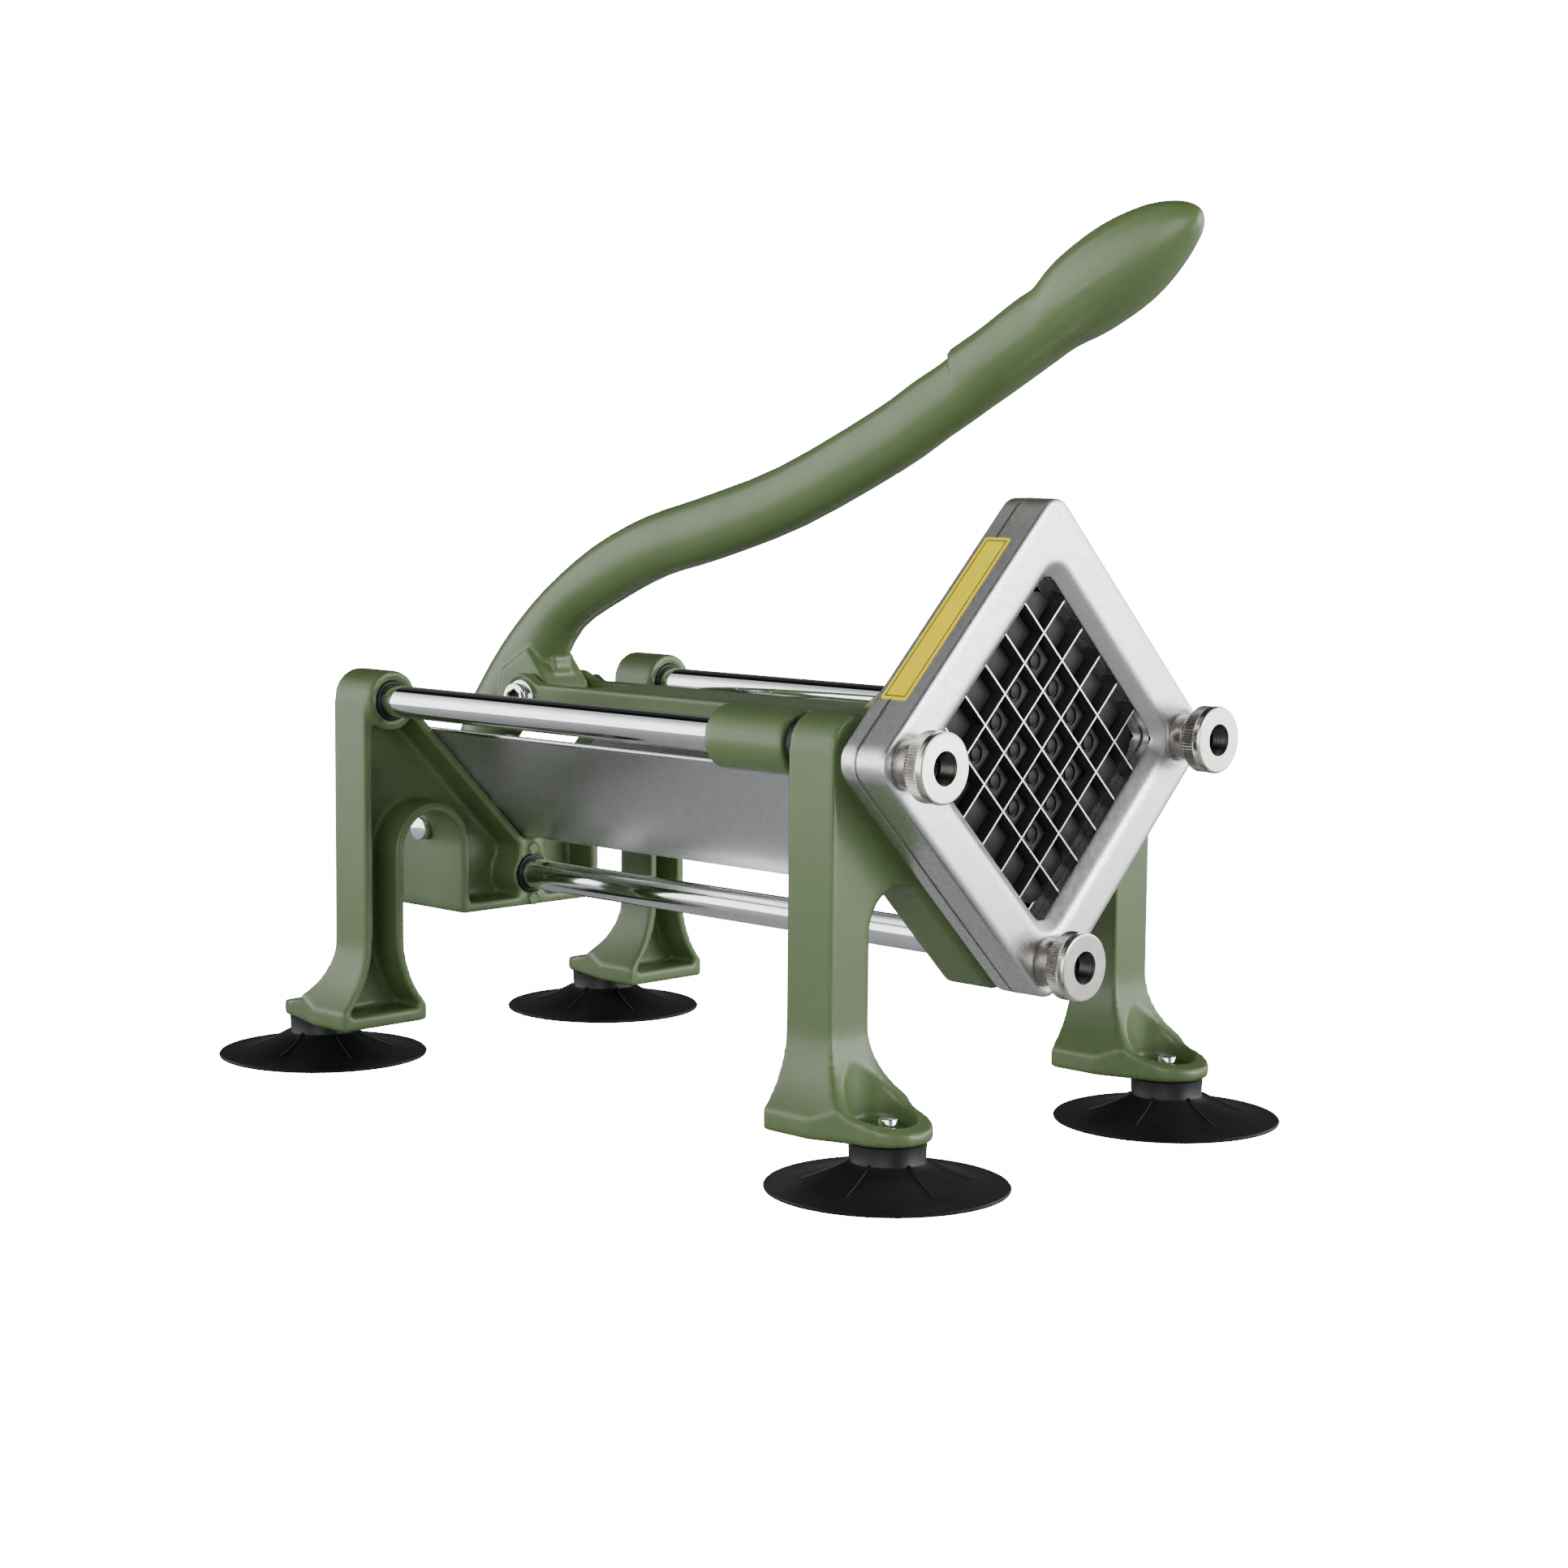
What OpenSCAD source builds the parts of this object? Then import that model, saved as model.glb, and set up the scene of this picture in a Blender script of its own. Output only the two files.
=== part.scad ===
// Lever press that pushes a potato through a square grid of blades.
// Millimetres. X across, Y from the blade end back to the link end, Z up.
// Zero is on the counter, midway between the four suction cups.
// It is drawn with the handle pressed home, the pusher's pins among the blades.

/* [Cutting square] */
// Side of one cell of the grid, which is the width of a cut stick
cell = 12.7; // [12:0.1:13.2]
// Cells along each side of the grid
cells = 6; // [5:1:6]
// Height of the middle of the grid
axis_z = 126.5; // [122:0.5:132]
// Thickness of a blade
blade_t = 0.5; // [0.4:0.1:0.8]
// Depth of a blade along the push
blade_depth = 6.9; // [5.5:0.1:7.5]

/* [Frames] */
// Twice the distance from the middle of the bay to the rear frame
bay_len = 202.5; // [196:0.5:215]
// How much further than the rear frame the front frame stands from the middle of the bay
front_set = 2; // [0:0.25:3]
// Depth of the front casting along Y
front_depth = 18.5; // [17:0.5:21]
// Depth of the rear casting along Y
rear_depth = 17.4; // [16:0.2:20]
// Thickness of the flange round the castings
flange = 3.4; // [2.8:0.1:4]
// Thickness of the castings' outer web
web = 4.4; // [3.4:0.2:5.4]
// Width of a leg
leg_w = 17.2; // [15:0.2:18.5]
// Radius of the round boss where a slide rod enters
boss_r = 10.5; // [9.5:0.1:11.5]
// Radius of the arch beside each leg
arch_r = 13.4; // [12:0.2:14.4]
// Height of the arches' centres on the rear frame
arch_z = 75.4; // [70:0.2:77]
// Height of the underside of the rear frame's middle
hub_z = 51; // [48:0.5:54]
// Width of the column that carries the lower rod
column_w = 12; // [11:0.5:15]

/* [Rods] */
// Diameter of the three rods
rod_d = 11; // [9:0.5:12]
// Distance between the two slide rods
rod_span = 132; // [128:1:140]
// Height of the slide rods above the middle of the grid
rod_rise = 3; // [0:0.5:5]
// Height of the lower rod
lower_rod_z = 62.7; // [61:0.1:64]
// Length of each rod inside the front frame
rod_grip = 10; // [8:0.5:11]

/* [Feet and suction cups] */
// Distance from the bay to the middle of a cup
foot_reach = 36.25; // [34:0.25:40]
// Sideways distance of a cup from its slide rod
foot_out = 1.8; // [0:0.2:3]
// Width of a foot
foot_w = 37; // [34:0.5:39]
// Radius of the toe round the cup's stud
toe_r = 13.5; // [12.5:0.1:15]
// Thickness of the foot's edge
slab_h = 6.5; // [5:0.5:8]
// Height at which a leg starts to flare sideways
flare_z = 46; // [42:0.5:48]
// Thickness of the toe's rim beside the scoop
toe_rim = 2.7; // [2.2:0.1:4]
// Thickness of the toe at its tip
toe_tip = 4; // [3.5:0.1:5]
// Radius of a cup's rim
cup_r = 37; // [33:0.5:40]
// Height of a cup, from the counter to the foot
cup_h = 14.5; // [13:0.5:17]
// Height of the cup's collar
collar_h = 5.5; // [4:0.5:7]
// Radius of the cup's collar
collar_r = 11.5; // [10:0.5:12.5]
// Thickness of the cup's skirt
skirt_t = 2.2; // [1.8:0.1:3]
// Diameter of the cup's stud
cup_stud_d = 6; // [5:0.5:8]

/* [Trough] */
// Thickness of the trough's sheet
trough_t = 1; // [0.8:0.1:1.2]
// Clearance between the pusher and the trough
trough_clear = 0.5; // [0.4:0.1:1.2]
// Drop of the trough's edges below the middle of the grid
trough_drop = 8.5; // [7:0.5:14]

/* [Blade cassette] */
// Width of the border round the grid
cas_border = 18.8; // [17.5:0.1:20]
// Thickness of the back half; the front half is as thick as its bevel and the blades
cas_back_t = 6.5; // [5.5:0.5:8]
// Radius of the cassette's outer corners
cas_r = 8; // [6:0.5:10]
// Gap between the cassette and the front frame
cas_seat = 2.75; // [2:0.25:3.5]
// Depth of the bevel from the front face to the blades
bevel_depth = 4.6; // [4.2:0.1:5.5]
// Width of that bevel
bevel_w = 5.4; // [4:0.2:6]

/* [Thumb nuts] */
// Diameter of a stud
stud_d = 7.9; // [6.9:0.1:8.4]
// Distance from the middle of the grid to a stud
stud_reach = 66; // [64.5:0.5:67]
// Diameter of the knurled head
knob_d = 21.6; // [18:0.2:24]
// Length of the knurled head
knob_len = 7; // [5:0.5:9]
// Diameter of the collar behind it
knob_neck_d = 14.5; // [13:0.5:16]
// Length of that collar
knob_neck_len = 7; // [5:0.5:9]

/* [Pusher] */
// Gap between two pins
pin_gap = 3; // [2.4:0.1:3.6]
// Length of a pin
pin_len = 13; // [10:0.5:14]
// Thickness of the block behind the pins
block_t = 5; // [4:0.5:7]
// Distance of the pins' faces behind the front edges of the blades
pin_back = 3.6; // [2:0.2:5]
// Radius of the block's corners
block_r = 8; // [6:0.5:9]

/* [Carriage] */
// Length of a sleeve
sleeve_len = 33.5; // [28:0.5:38]
// Radius of a sleeve
sleeve_r = 10.2; // [9.4:0.1:11]
// Length of the rubber buffer between a sleeve and its frame
buffer_len = 3.4; // [2.6:0.1:5]
// Width of the beam that runs back to the handle
beam_w = 31; // [30:0.5:36]
// Height of that beam
beam_h = 15; // [13:0.5:16]
// Height of the beam's top above the slide rods
beam_rise = 4.5; // [3.5:0.5:5.5]
// Thickness of the beam's sides, which are the fork's arms
arm_t = 4.5; // [4:0.1:5]
// Thickness of the carriage's plates
plate_t = 6; // [5:0.5:7]

/* [Handle] */
// Distance of the handle's pivot in front of the rear casting
pivot_gap = 11.25; // [8:0.25:16]
// Drop of that pivot below the slide rods
pivot_dip = 1.5; // [0:0.5:2]
// Diameter of the pivot bolt
pivot_d = 8; // [6:0.5:8]
// How far the grip's end reaches ahead of the pivot
handle_reach = 284; // [270:1:300]
// How far the grip's end stands above the pivot
handle_rise = 159.5; // [148:0.5:172]
// Width of the handle between the fork's arms
handle_w = 20; // [17:0.5:20]
// Width of the handle's lower arm
tail_w = 16; // [14:0.5:18]

/* [Links] */
// Distance of the pull pin behind the handle's pivot
pull_y = 42; // [40:0.5:44]
// Drop of the pull pin below the handle's pivot
pull_drop = 71; // [69:0.5:73]
// Distance of the links' pivot behind the handle's pivot
link_y = 68.5; // [67:0.5:70]
// Drop of the links' pivot below the handle's pivot
link_drop = 44; // [43:0.5:45]
// Diameter of the links' pivot bolts
link_bolt_d = 8; // [6:0.5:8]
// Diameter of the pull pin
pull_d = 6; // [5:0.5:7]
// Play of the pull pin in the handle's eye
pull_play = 2.9; // [2.8:0.1:3.2]
// Thickness of a link
link_t = 4; // [3:0.5:5]
// Width of a link
link_w = 16; // [14:0.5:18]

/* [Hidden] */
$fn = 64;

enamel = "olivedrab";
chrome = "silver";
rubber = "#222222";

// One overrun serves every cut
over = 1;
// Radial play of a running fit, and of a hole that a fastener passes through
run_fit = 0.05;
pass_fit = 0.35;
// Gap between faces of pieces that move past each other, and between seated pieces
slide_gap = 0.4;
seat_gap = 0.3;
diag = sqrt(2);

// Grid and what passes through it
open_half = cell * cells / 2;
block_half = (cell * cells - pin_gap) / 2;
trough_in = block_half + trough_clear;
trough_out = trough_in + trough_t;
tunnel_half = trough_out + seat_gap;
tunnel_r = 3;
block_low = axis_z - block_half * diag + block_r * (diag - 1);
trough_floor = block_low - trough_clear - trough_t;

// Frames
bay = bay_len / 2;
front_bay = bay + front_set;
rod_x = rod_span / 2;
rod_z = axis_z + rod_rise;
leg_out = rod_x + boss_r;
leg_in = leg_out - leg_w;
hub_x = leg_in - 2 * arch_r;
foot_x = rod_x + foot_out;
foot_in = foot_x - foot_w / 2;
foot_end = foot_x + foot_w / 2;
foot_z = cup_h;
slab_z = foot_z + slab_h;
toe_flare_r = 27.5;
toe_flare_angle = 58;
scoop_r = toe_r - toe_rim;
scoop_back = 3.2;
scoop_floor = 3;
stud_tip = 3.5;
foot_floor = 5;
flare_steps = 8;
pad_r = 2.4;
pad_h = 1;
pad_off = 9.2;
column_r = 8.5;
boss_rise = 2.5;

// Cassette, from its back to its front, with Y running towards the user at the blades
cas_half = open_half + cas_border;
cas_back_y = -front_bay - front_depth - cas_seat;
cas_part_y = cas_back_y - cas_back_t;
cas_front_t = bevel_depth + blade_depth;
cas_face_y = cas_part_y - cas_front_t;
blade_front_y = cas_face_y + bevel_depth;
blade_grip = 4.5;
open_r = 4;
cas_screw_r = 2;
cas_screw_head_r = 3.6;
cas_screw_head_t = 2;
cas_screw_reach = cas_half - cas_screw_head_r - blade_grip;

// Thumb nuts
knob_y = cas_face_y - knob_neck_len - knob_len;
knob_chamfer = 0.8;
knob_mouth = 0.6;
stud_recess = 5;
stud_wall = 2;
stud_root = front_depth - rod_grip - stud_wall;
stud_head_r = 6.4;
groove_len = 1.2;
dip_depth = 1;
dip_play = 0.75;

// Pusher
pin_face_y = blade_front_y + pin_back;
block_y = pin_face_y + pin_len;
plate_y = block_y + block_t;
ring_r = 2.9;
ring_w = 0.8;
ring_depth = 0.6;
block_screw_r = 2.5;
block_screw_head_r = 4.2;
block_screw_head_t = 4;

// Carriage
sleeve_front_y = -front_bay + buffer_len + seat_gap;
sleeve_back_y = sleeve_front_y + sleeve_len;
bush_t = 1.6;
pivot_y = bay - pivot_gap;
pivot_z = rod_z - pivot_dip;
beam_top = rod_z + beam_rise;
beam_low = beam_top - beam_h;
beam_roof = 3.2;
fork_r = 9.2;
fork_len = 34;
wing_h = 12;
wing_low = rod_z - wing_h / 2;
wing_t = 5;
rib_t = 6;
rib_run = 44;
rod_ring = 1.4;
ring_seat = 3;
spot_depth = 1;
spot_play = 1.2;

// Handle: stations from the grip's end to the pull pin, as shares of the reach ahead of
// the pivot and of the rise above it; the tail's stations are shares of the pull pin's place
grip_y_shares = [1.000, 0.987, 0.952, 0.904, 0.848, 0.811, 0.785, 0.739, 0.697, 0.670, 0.633, 0.570];
grip_z_shares = [0.998, 0.988, 0.960, 0.912, 0.857, 0.817, 0.793, 0.746, 0.704, 0.675, 0.640, 0.580];
grip_h_shares = [0.060, 0.372, 0.709, 0.922, 0.911, 0.763, 0.767, 0.754, 0.755, 0.731, 0.731, 0.736];
limb_y_shares = [0.421, 0.284, 0.192, 0.104, 0.021, -0.036, -0.085];
limb_z_shares = [0.465, 0.392, 0.350, 0.286, 0.200, 0.094, -0.003];
limb_h_shares = [0.740, 0.760, 0.754, 0.749, 0.686, 0.875, 0.865];
tail_y_shares = [0.870, 1.050, 1.090, 1.030];
tail_z_shares = [-0.229, -0.468, -0.677, -0.896];
tail_h_shares = [0.800, 0.640, 0.540, 0.460];
grip_h = 14.7;
grip_w = 14;
limb_w = 8.9;
oval_share = 0.85;
hub_y_shares = [-0.58, 0.31, 1.77, 2.08, 0.73];
hub_z_shares = [0.86, 1.82, 0.94, -0.62, -0.68];
ring_sides = 20;
ring_steps = 3;
hub_r = 9.6;
lug_r = 4.4;
lug_y_share = -0.17;
lug_z_share = 1.14;
eye_wall = 4;
eye_r = pull_d / 2 + pull_play + eye_wall;
bolt_head_r = 5.8;
bolt_head_len = 3;
washer_r = 6.8;
washer_t = 1.2;
nut_r = 7.4;
nut_len = 6.5;
hex_key = 3.4;
hex_depth = 2;
bolt_stub = 2;
seat_x = beam_w / 2 - spot_depth + washer_t;

// Links and the rear box
link_x = tail_w / 2 + 2 * slide_gap + slide_gap * 4;
box_wall = 3.5;
box_reach = 14;
link_r = link_w / 2;
link_waist = 0.9;
link_piv_y = pivot_y + link_y;
link_piv_z = pivot_z - link_drop;
pull_py = pivot_y + pull_y;
pull_pz = pivot_z - pull_drop;
box_boss_r = 9;
pin_head_r = 5;
pin_head_t = 2;
stop_r = 3;
stop_back = 4.4;
stop_z = 80;
stop_head_r = 4.2;
stop_head_len = 3.6;

// Points on an arc that leaves a leg's side straight down and ends at a foot's edge
function flare(x0, x1, z0, z1) =
    let (dx = abs(x1 - x0), dz = z0 - z1, r = (dx * dx + dz * dz) / (2 * dx),
         a = atan2(dz, r - dx), s = sign(x1 - x0))
    [for (i = [0:flare_steps]) let (b = a * i / flare_steps)
        [x0 + s * r * (1 - cos(b)), z0 - r * sin(b)]];
function flipped(list) = [for (i = [len(list) - 1:-1:0]) list[i]];

module along_y(x, y, z, r, l) translate([x, y, z]) rotate([-90, 0, 0]) cylinder(r = r, h = l);
module along_x(x, y, z, r, l) translate([x, y, z]) rotate([0, 90, 0]) cylinder(r = r, h = l);
module prism_xz(points, y0, y1)
    translate([0, y1, 0]) rotate([90, 0, 0]) linear_extrude(y1 - y0) polygon(points);
module prism_yz(points, x0, x1)
    translate([x0, 0, 0]) rotate([90, 0, 90]) linear_extrude(x1 - x0) polygon(points);
// The origin lies on the counter, midway between the handle's tip and the rims of the rear cups
module in_frame() translate([0, -middle_y, 0]) children();
module mirrored_x() { children(); mirror([1, 0, 0]) children(); }
module box(x0, y0, z0, x1, y1, z1) translate([x0, y0, z0]) cube([x1 - x0, y1 - y0, z1 - z0]);

// A square bar turned a quarter of a right angle, with round corners, along Y
module diamond(half, r, y0, y1)
    translate([0, 0, axis_z]) rotate([0, 45, 0]) {
        box(-half + r, y0, -half, half - r, y1, half);
        box(-half, y0, -half + r, half, y1, half - r);
        for (i = [-1, 1], j = [-1, 1]) along_y(i * (half - r), y0, j * (half - r), r, y1 - y0);
    }

// Castings are drawn from the bay outwards and placed at each end
module at_rear() translate([0, bay, 0]) children();
module at_front() mirror([0, 1, 0]) translate([0, front_bay, 0]) children();

module leg_outline(t, y0, y1, top)
    prism_xz(concat(
        [[foot_end - t, foot_z + (t > 0 ? foot_floor : 0)], [foot_end - t, slab_z]],
        flipped(flare(leg_out - t, foot_end - t, flare_z, slab_z)),
        [[leg_out - t, top], [leg_in + t, top]],
        flare(leg_in + t, foot_in + t, flare_z, slab_z),
        [[foot_in + t, slab_z], [foot_in + t, foot_z + (t > 0 ? foot_floor : 0)]]), y0, y1);

module leg(depth, reach) {
    toe_y = reach + toe_r;
    toe_arc = [for (i = [0:flare_steps]) let (a = toe_flare_angle * i / flare_steps)
        [depth + toe_flare_r * (1 - cos(a)), flare_z - toe_flare_r * sin(a)]];
    difference() {
        intersection() {
            leg_outline(0, 0, toe_y, rod_z);
            prism_yz(concat([[0, rod_z], [depth, rod_z]], toe_arc,
                [[toe_y, foot_z + toe_tip], [toe_y, foot_z], [0, foot_z]]), foot_in, foot_end);
            union() {
                box(foot_in, 0, foot_z, foot_end, depth, rod_z);
                translate([foot_x, 0, foot_z]) linear_extrude(rod_z - foot_z)
                    polygon([[-foot_w / 2, depth], [-toe_r, reach], [toe_r, reach], [foot_w / 2, depth]]);
                translate([foot_x, reach, foot_z]) cylinder(r = toe_r, h = rod_z - foot_z);
            }
        }
        translate([foot_x, reach - scoop_back, foot_z + scoop_floor]) cylinder(r = scoop_r, h = rod_z);
        translate([foot_x, reach, 0]) cylinder(d = cup_stud_d, h = rod_z);
    }
}

// Notch that takes the trough, deeper by t on every side
module v_notch(t, y0, y1) {
    apex = axis_z - (tunnel_half + t) * diag;
    floor_z = trough_floor - seat_gap - t;
    w = floor_z - apex;
    prism_xz([[-w, floor_z], [w, floor_z], [rod_z - apex + over, rod_z + over],
              [-(rod_z - apex + over), rod_z + over]], y0, y1);
}
module arch(t, y0, y1) {
    box(leg_in - 2 * arch_r - t, y0, 0, leg_in + t, y1, arch_z);
    along_y(leg_in - arch_r, y0, arch_z, arch_r + t, y1 - y0);
}

// Rear casting without its pockets, thinner by t all round
module rear_core(t, y0, y1) difference() {
    box(-leg_out + t, y0, hub_z + t, leg_out - t, y1, rod_z - t);
    mirrored_x() arch(t, y0 - over, y1 + over);
    v_notch(t, y0 - over, y1 + over);
}

module rear_frame() color(enamel) in_frame() at_rear() difference() {
    union() {
        difference() {
            union() {
                rear_core(0, 0, rear_depth);
                mirrored_x() leg(rear_depth, foot_reach);
            }
            difference() {
                union() {
                    rear_core(flange, -over, rear_depth - web);
                    mirrored_x() leg_outline(flange, -over, rear_depth - web, rod_z - flange);
                }
                box(-column_w / 2, -2 * over, hub_z, column_w / 2, rear_depth, axis_z);
                along_y(0, -2 * over, lower_rod_z, column_r, rear_depth + 2 * over);
                mirrored_x() along_y(rod_x, -2 * over, rod_z, boss_r, rear_depth + 2 * over);
            }
        }
        mirrored_x() along_y(rod_x, -boss_rise, rod_z, boss_r, rear_depth + boss_rise);
        mirrored_x() box_side();
        for (i = [-1, 1]) along_y(0, -pad_h, lower_rod_z + i * pad_off, pad_r, 2 * pad_h);
    }
    mirrored_x() along_y(rod_x, -boss_rise - over, rod_z, rod_d / 2, rear_depth + boss_rise + 2 * over);
    along_y(0, -over, lower_rod_z, rod_d / 2, rear_depth + 2 * over);
    mirrored_x() along_y(rod_x, -boss_rise - over, rod_z, rod_d / 2 + rod_ring, over + ring_seat);
    along_y(0, -over, lower_rod_z, rod_d / 2 + rod_ring, over + ring_seat);
    translate([-hub_x - over, -bay, 0]) {
        along_x(0, link_piv_y, link_piv_z, link_bolt_d / 2, 2 * (hub_x + over));
        along_x(0, stop_y(), stop_z, stop_r, 2 * (hub_x + over));
    }
}

// One side wall of the box behind the rear casting
module box_side() {
    y1 = link_piv_y - bay;
    prism_yz([[rear_depth - over, hub_z], [y1 - box_boss_r, hub_z],
              [y1 + box_boss_r * cos(45), link_piv_z - box_boss_r * sin(45)],
              [y1 + box_boss_r, link_piv_z], [y1, link_piv_z + box_boss_r],
              [y1 - box_boss_r, link_piv_z + box_boss_r],
              [rear_depth - over, arch_z + arch_r]], hub_x - box_wall, hub_x);
    along_x(hub_x - box_wall, y1, link_piv_z, box_boss_r, box_wall);
}
function stop_y() = bay + rear_depth + stop_back;

// Front casting: two legs and a V that the cassette bears on, thinner by t all round
module front_core(t, y0, y1) {
    half = cas_half - t;
    cz = axis_z - (cas_half * diag - (leg_in - arch_r)) - arch_r * diag;
    difference() {
        union() {
            intersection() {
                diamond(half, cas_r, y0, y1);
                box(-leg_out + t, y0, 0, leg_out - t, y1, rod_z - t);
            }
            mirrored_x() difference() {
                prism_xz([[leg_in + t + over, cz], [leg_in + t + over, rod_z - t],
                          [leg_in - arch_r, rod_z - t], [leg_in - arch_r - arch_r / diag, cz + arch_r / diag],
                          [leg_in - arch_r, cz]], y0, y1);
                along_y(leg_in - arch_r, y0 - over, cz, arch_r + t, y1 - y0 + 2 * over);
            }
        }
        diamond(tunnel_half + t, tunnel_r, y0 - over, y1 + over);
        prism_xz([[0, axis_z - tunnel_half * diag], [rod_z * 2, axis_z - tunnel_half * diag + rod_z * 2],
                  [-rod_z * 2, axis_z - tunnel_half * diag + rod_z * 2]], y0 - over, y1 + over);
    }
}

module front_frame() color(enamel) in_frame() at_front() difference() {
    union() {
        difference() {
            union() {
                front_core(0, 0, front_depth);
                mirrored_x() leg(front_depth, foot_reach - front_set);
                intersection() {
                    diamond(cas_half - flange, cas_r, front_depth - over, front_depth + cas_seat);
                    box(-leg_out, 0, 0, leg_out, bay, axis_z);
                }
            }
            diamond(tunnel_half, tunnel_r, 0, front_depth + cas_seat + over);
            difference() {
                union() {
                    front_core(flange, -over, front_depth - web);
                    mirrored_x() leg_outline(flange, -over, front_depth - web, rod_z - flange);
                }
                mirrored_x() along_y(rod_x, -2 * over, rod_z, boss_r, front_depth + 2 * over);
                along_y(0, -2 * over, lower_rod_z, column_r, front_depth + 2 * over);
                stud_places() rotate([-90, 0, 0]) translate([0, 0, -2 * over])
                    cylinder(r = stud_head_r, h = front_depth + 2 * over);
            }
        }
        mirrored_x() along_y(rod_x, 0, rod_z, boss_r, front_depth);
    }
    mirrored_x() along_y(rod_x, -over, rod_z, rod_d / 2, over + rod_grip);
    along_y(0, -over, lower_rod_z, rod_d / 2, over + rod_grip);
    stud_places() rotate([-90, 0, 0]) translate([0, 0, front_depth - stud_root])
        cylinder(d = stud_d, h = stud_root + cas_seat + over);
}

// Left, right and bottom corners of the grid's border, in the local frame of a casting
module stud_places() for (p = stud_points) translate([p[0], 0, p[1]]) children();
stud_points = [[-stud_reach, axis_z], [stud_reach, axis_z], [0, axis_z - stud_reach]];

module rod(x, z) along_y(x, -front_bay - rod_grip, z, rod_d / 2, front_bay + bay + rod_grip + rear_depth);
module upper_rod_left() color(chrome) in_frame() rod(-rod_x, rod_z);
module upper_rod_right() color(chrome) in_frame() rod(rod_x, rod_z);
module lower_rod() color(chrome) in_frame() rod(0, lower_rod_z);

screw_head_r = 7;
screw_head_t = 2.8;
module rod_end_screws() color(chrome) in_frame() for (p = [[-rod_x, rod_z], [rod_x, rod_z], [0, lower_rod_z]])
    difference() {
        along_y(p[0], bay + rear_depth, p[1], screw_head_r, screw_head_t);
        along_y(p[0], bay + rear_depth + screw_head_t / 2, p[1], hex_key, screw_head_t, $fn = 6);
    }

module ring_y(x, y, z, r0, r1, l) difference() {
    along_y(x, y, z, r1, l);
    along_y(x, y - over, z, r0, l + 2 * over);
}
module front_buffers() color(rubber) in_frame() mirrored_x()
    ring_y(rod_x, -front_bay, rod_z, rod_d / 2, boss_r - flange / 2, buffer_len);
module rear_buffers() color(rubber) in_frame() {
    mirrored_x() ring_y(rod_x, bay - boss_rise, rod_z, rod_d / 2, rod_d / 2 + rod_ring, ring_seat);
    ring_y(0, bay - seat_gap, lower_rod_z, rod_d / 2, rod_d / 2 + rod_ring, ring_seat + seat_gap);
}

// Bent sheet: a V with a narrow flat along its fold
module potato_trough() color("gainsboro") in_frame() {
    top = axis_z - trough_drop;
    apex_out = axis_z - trough_out * diag;
    apex_in = axis_z - trough_in * diag;
    flat_out = trough_floor - apex_out;
    flat_in = trough_floor + trough_t - apex_in;
    prism_xz([[-flat_out, trough_floor], [flat_out, trough_floor], [top - apex_out, top],
              [top - apex_in, top], [flat_in, trough_floor + trough_t], [-flat_in, trough_floor + trough_t],
              [-(top - apex_in), top], [-(top - apex_out), top]],
        -front_bay - front_depth * 2 / 3, bay + rear_depth / 3);
}

module cassette_front() color("lightgray") in_frame() difference() {
    diamond(cas_half, cas_r, cas_face_y, cas_part_y);
    diamond(open_half, open_r, cas_face_y - over, cas_part_y + over);
    diamond(open_half + blade_grip, open_r, blade_front_y, cas_part_y + over);
    hull() {
        diamond(open_half, open_r, blade_front_y - over / 2, blade_front_y, $fn = 32);
        diamond(open_half + bevel_w, open_r + bevel_w, cas_face_y - over, cas_face_y, $fn = 32);
    }
    for (p = stud_points) {
        along_y(p[0], cas_face_y - over, p[1], stud_d / 2 + pass_fit, cas_front_t + 2 * over);
        along_y(p[0], cas_face_y - over, p[1], knob_neck_d / 2 + dip_play, over + dip_depth);
    }
    cassette_screw_places() translate([0, 0, -over]) cylinder(r = cas_screw_r, h = cas_front_t / 2 + over);
}
module cassette_back() color("lightgray") in_frame() difference() {
    diamond(cas_half, cas_r, cas_part_y, cas_back_y);
    diamond(open_half, open_r, cas_part_y - over, cas_back_y + over);
    for (p = stud_points)
        along_y(p[0], cas_part_y - over, p[1], stud_d / 2 + pass_fit, cas_back_t + 2 * over);
    cassette_screw_places() translate([0, 0, -cas_back_t - over])
        cylinder(r = cas_screw_r, h = cas_back_t + 2 * over);
    cassette_screw_places() translate([0, 0, -cas_back_t - over])
        cylinder(r = cas_screw_head_r, h = cas_screw_head_t + over);
}
// Screws enter the back half from behind, midway along each side of the border
module cassette_screw_places() for (a = [0:90:270])
    translate([0, cas_part_y, axis_z]) rotate([0, 45 + a, 0]) translate([cas_screw_reach, 0, 0])
        rotate([90, 0, 0]) children();
module cassette_screws() color(chrome) in_frame() cassette_screw_places() {
    translate([0, 0, -cas_back_t]) cylinder(r = cas_screw_r, h = cas_back_t + cas_front_t / 2);
    translate([0, 0, -cas_back_t]) cylinder(r = cas_screw_head_r, h = cas_screw_head_t);
}

// Blades cross in half-depth slots
module blade_set(turn, slot_y0, slot_y1) color("white") in_frame()
    translate([0, 0, axis_z]) rotate([0, turn, 0])
    for (i = [1:cells - 1]) {
        u = -open_half + i * cell;
        difference() {
            box(u - blade_t / 2, blade_front_y, -open_half - blade_grip + seat_gap,
                u + blade_t / 2, cas_part_y, open_half + blade_grip - seat_gap);
            for (j = [1:cells - 1])
                box(u - over, slot_y0, -open_half + j * cell - blade_t / 2 - slot_play,
                    u + over, slot_y1, -open_half + j * cell + blade_t / 2 + slot_play);
        }
    }
slot_play = 0.05;
blade_mid_y = blade_front_y + blade_depth / 2;
module blades_down_right() blade_set(45, blade_mid_y - slot_play, cas_part_y + over);
module blades_down_left() blade_set(-45, blade_front_y - over, blade_mid_y + slot_play);

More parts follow.
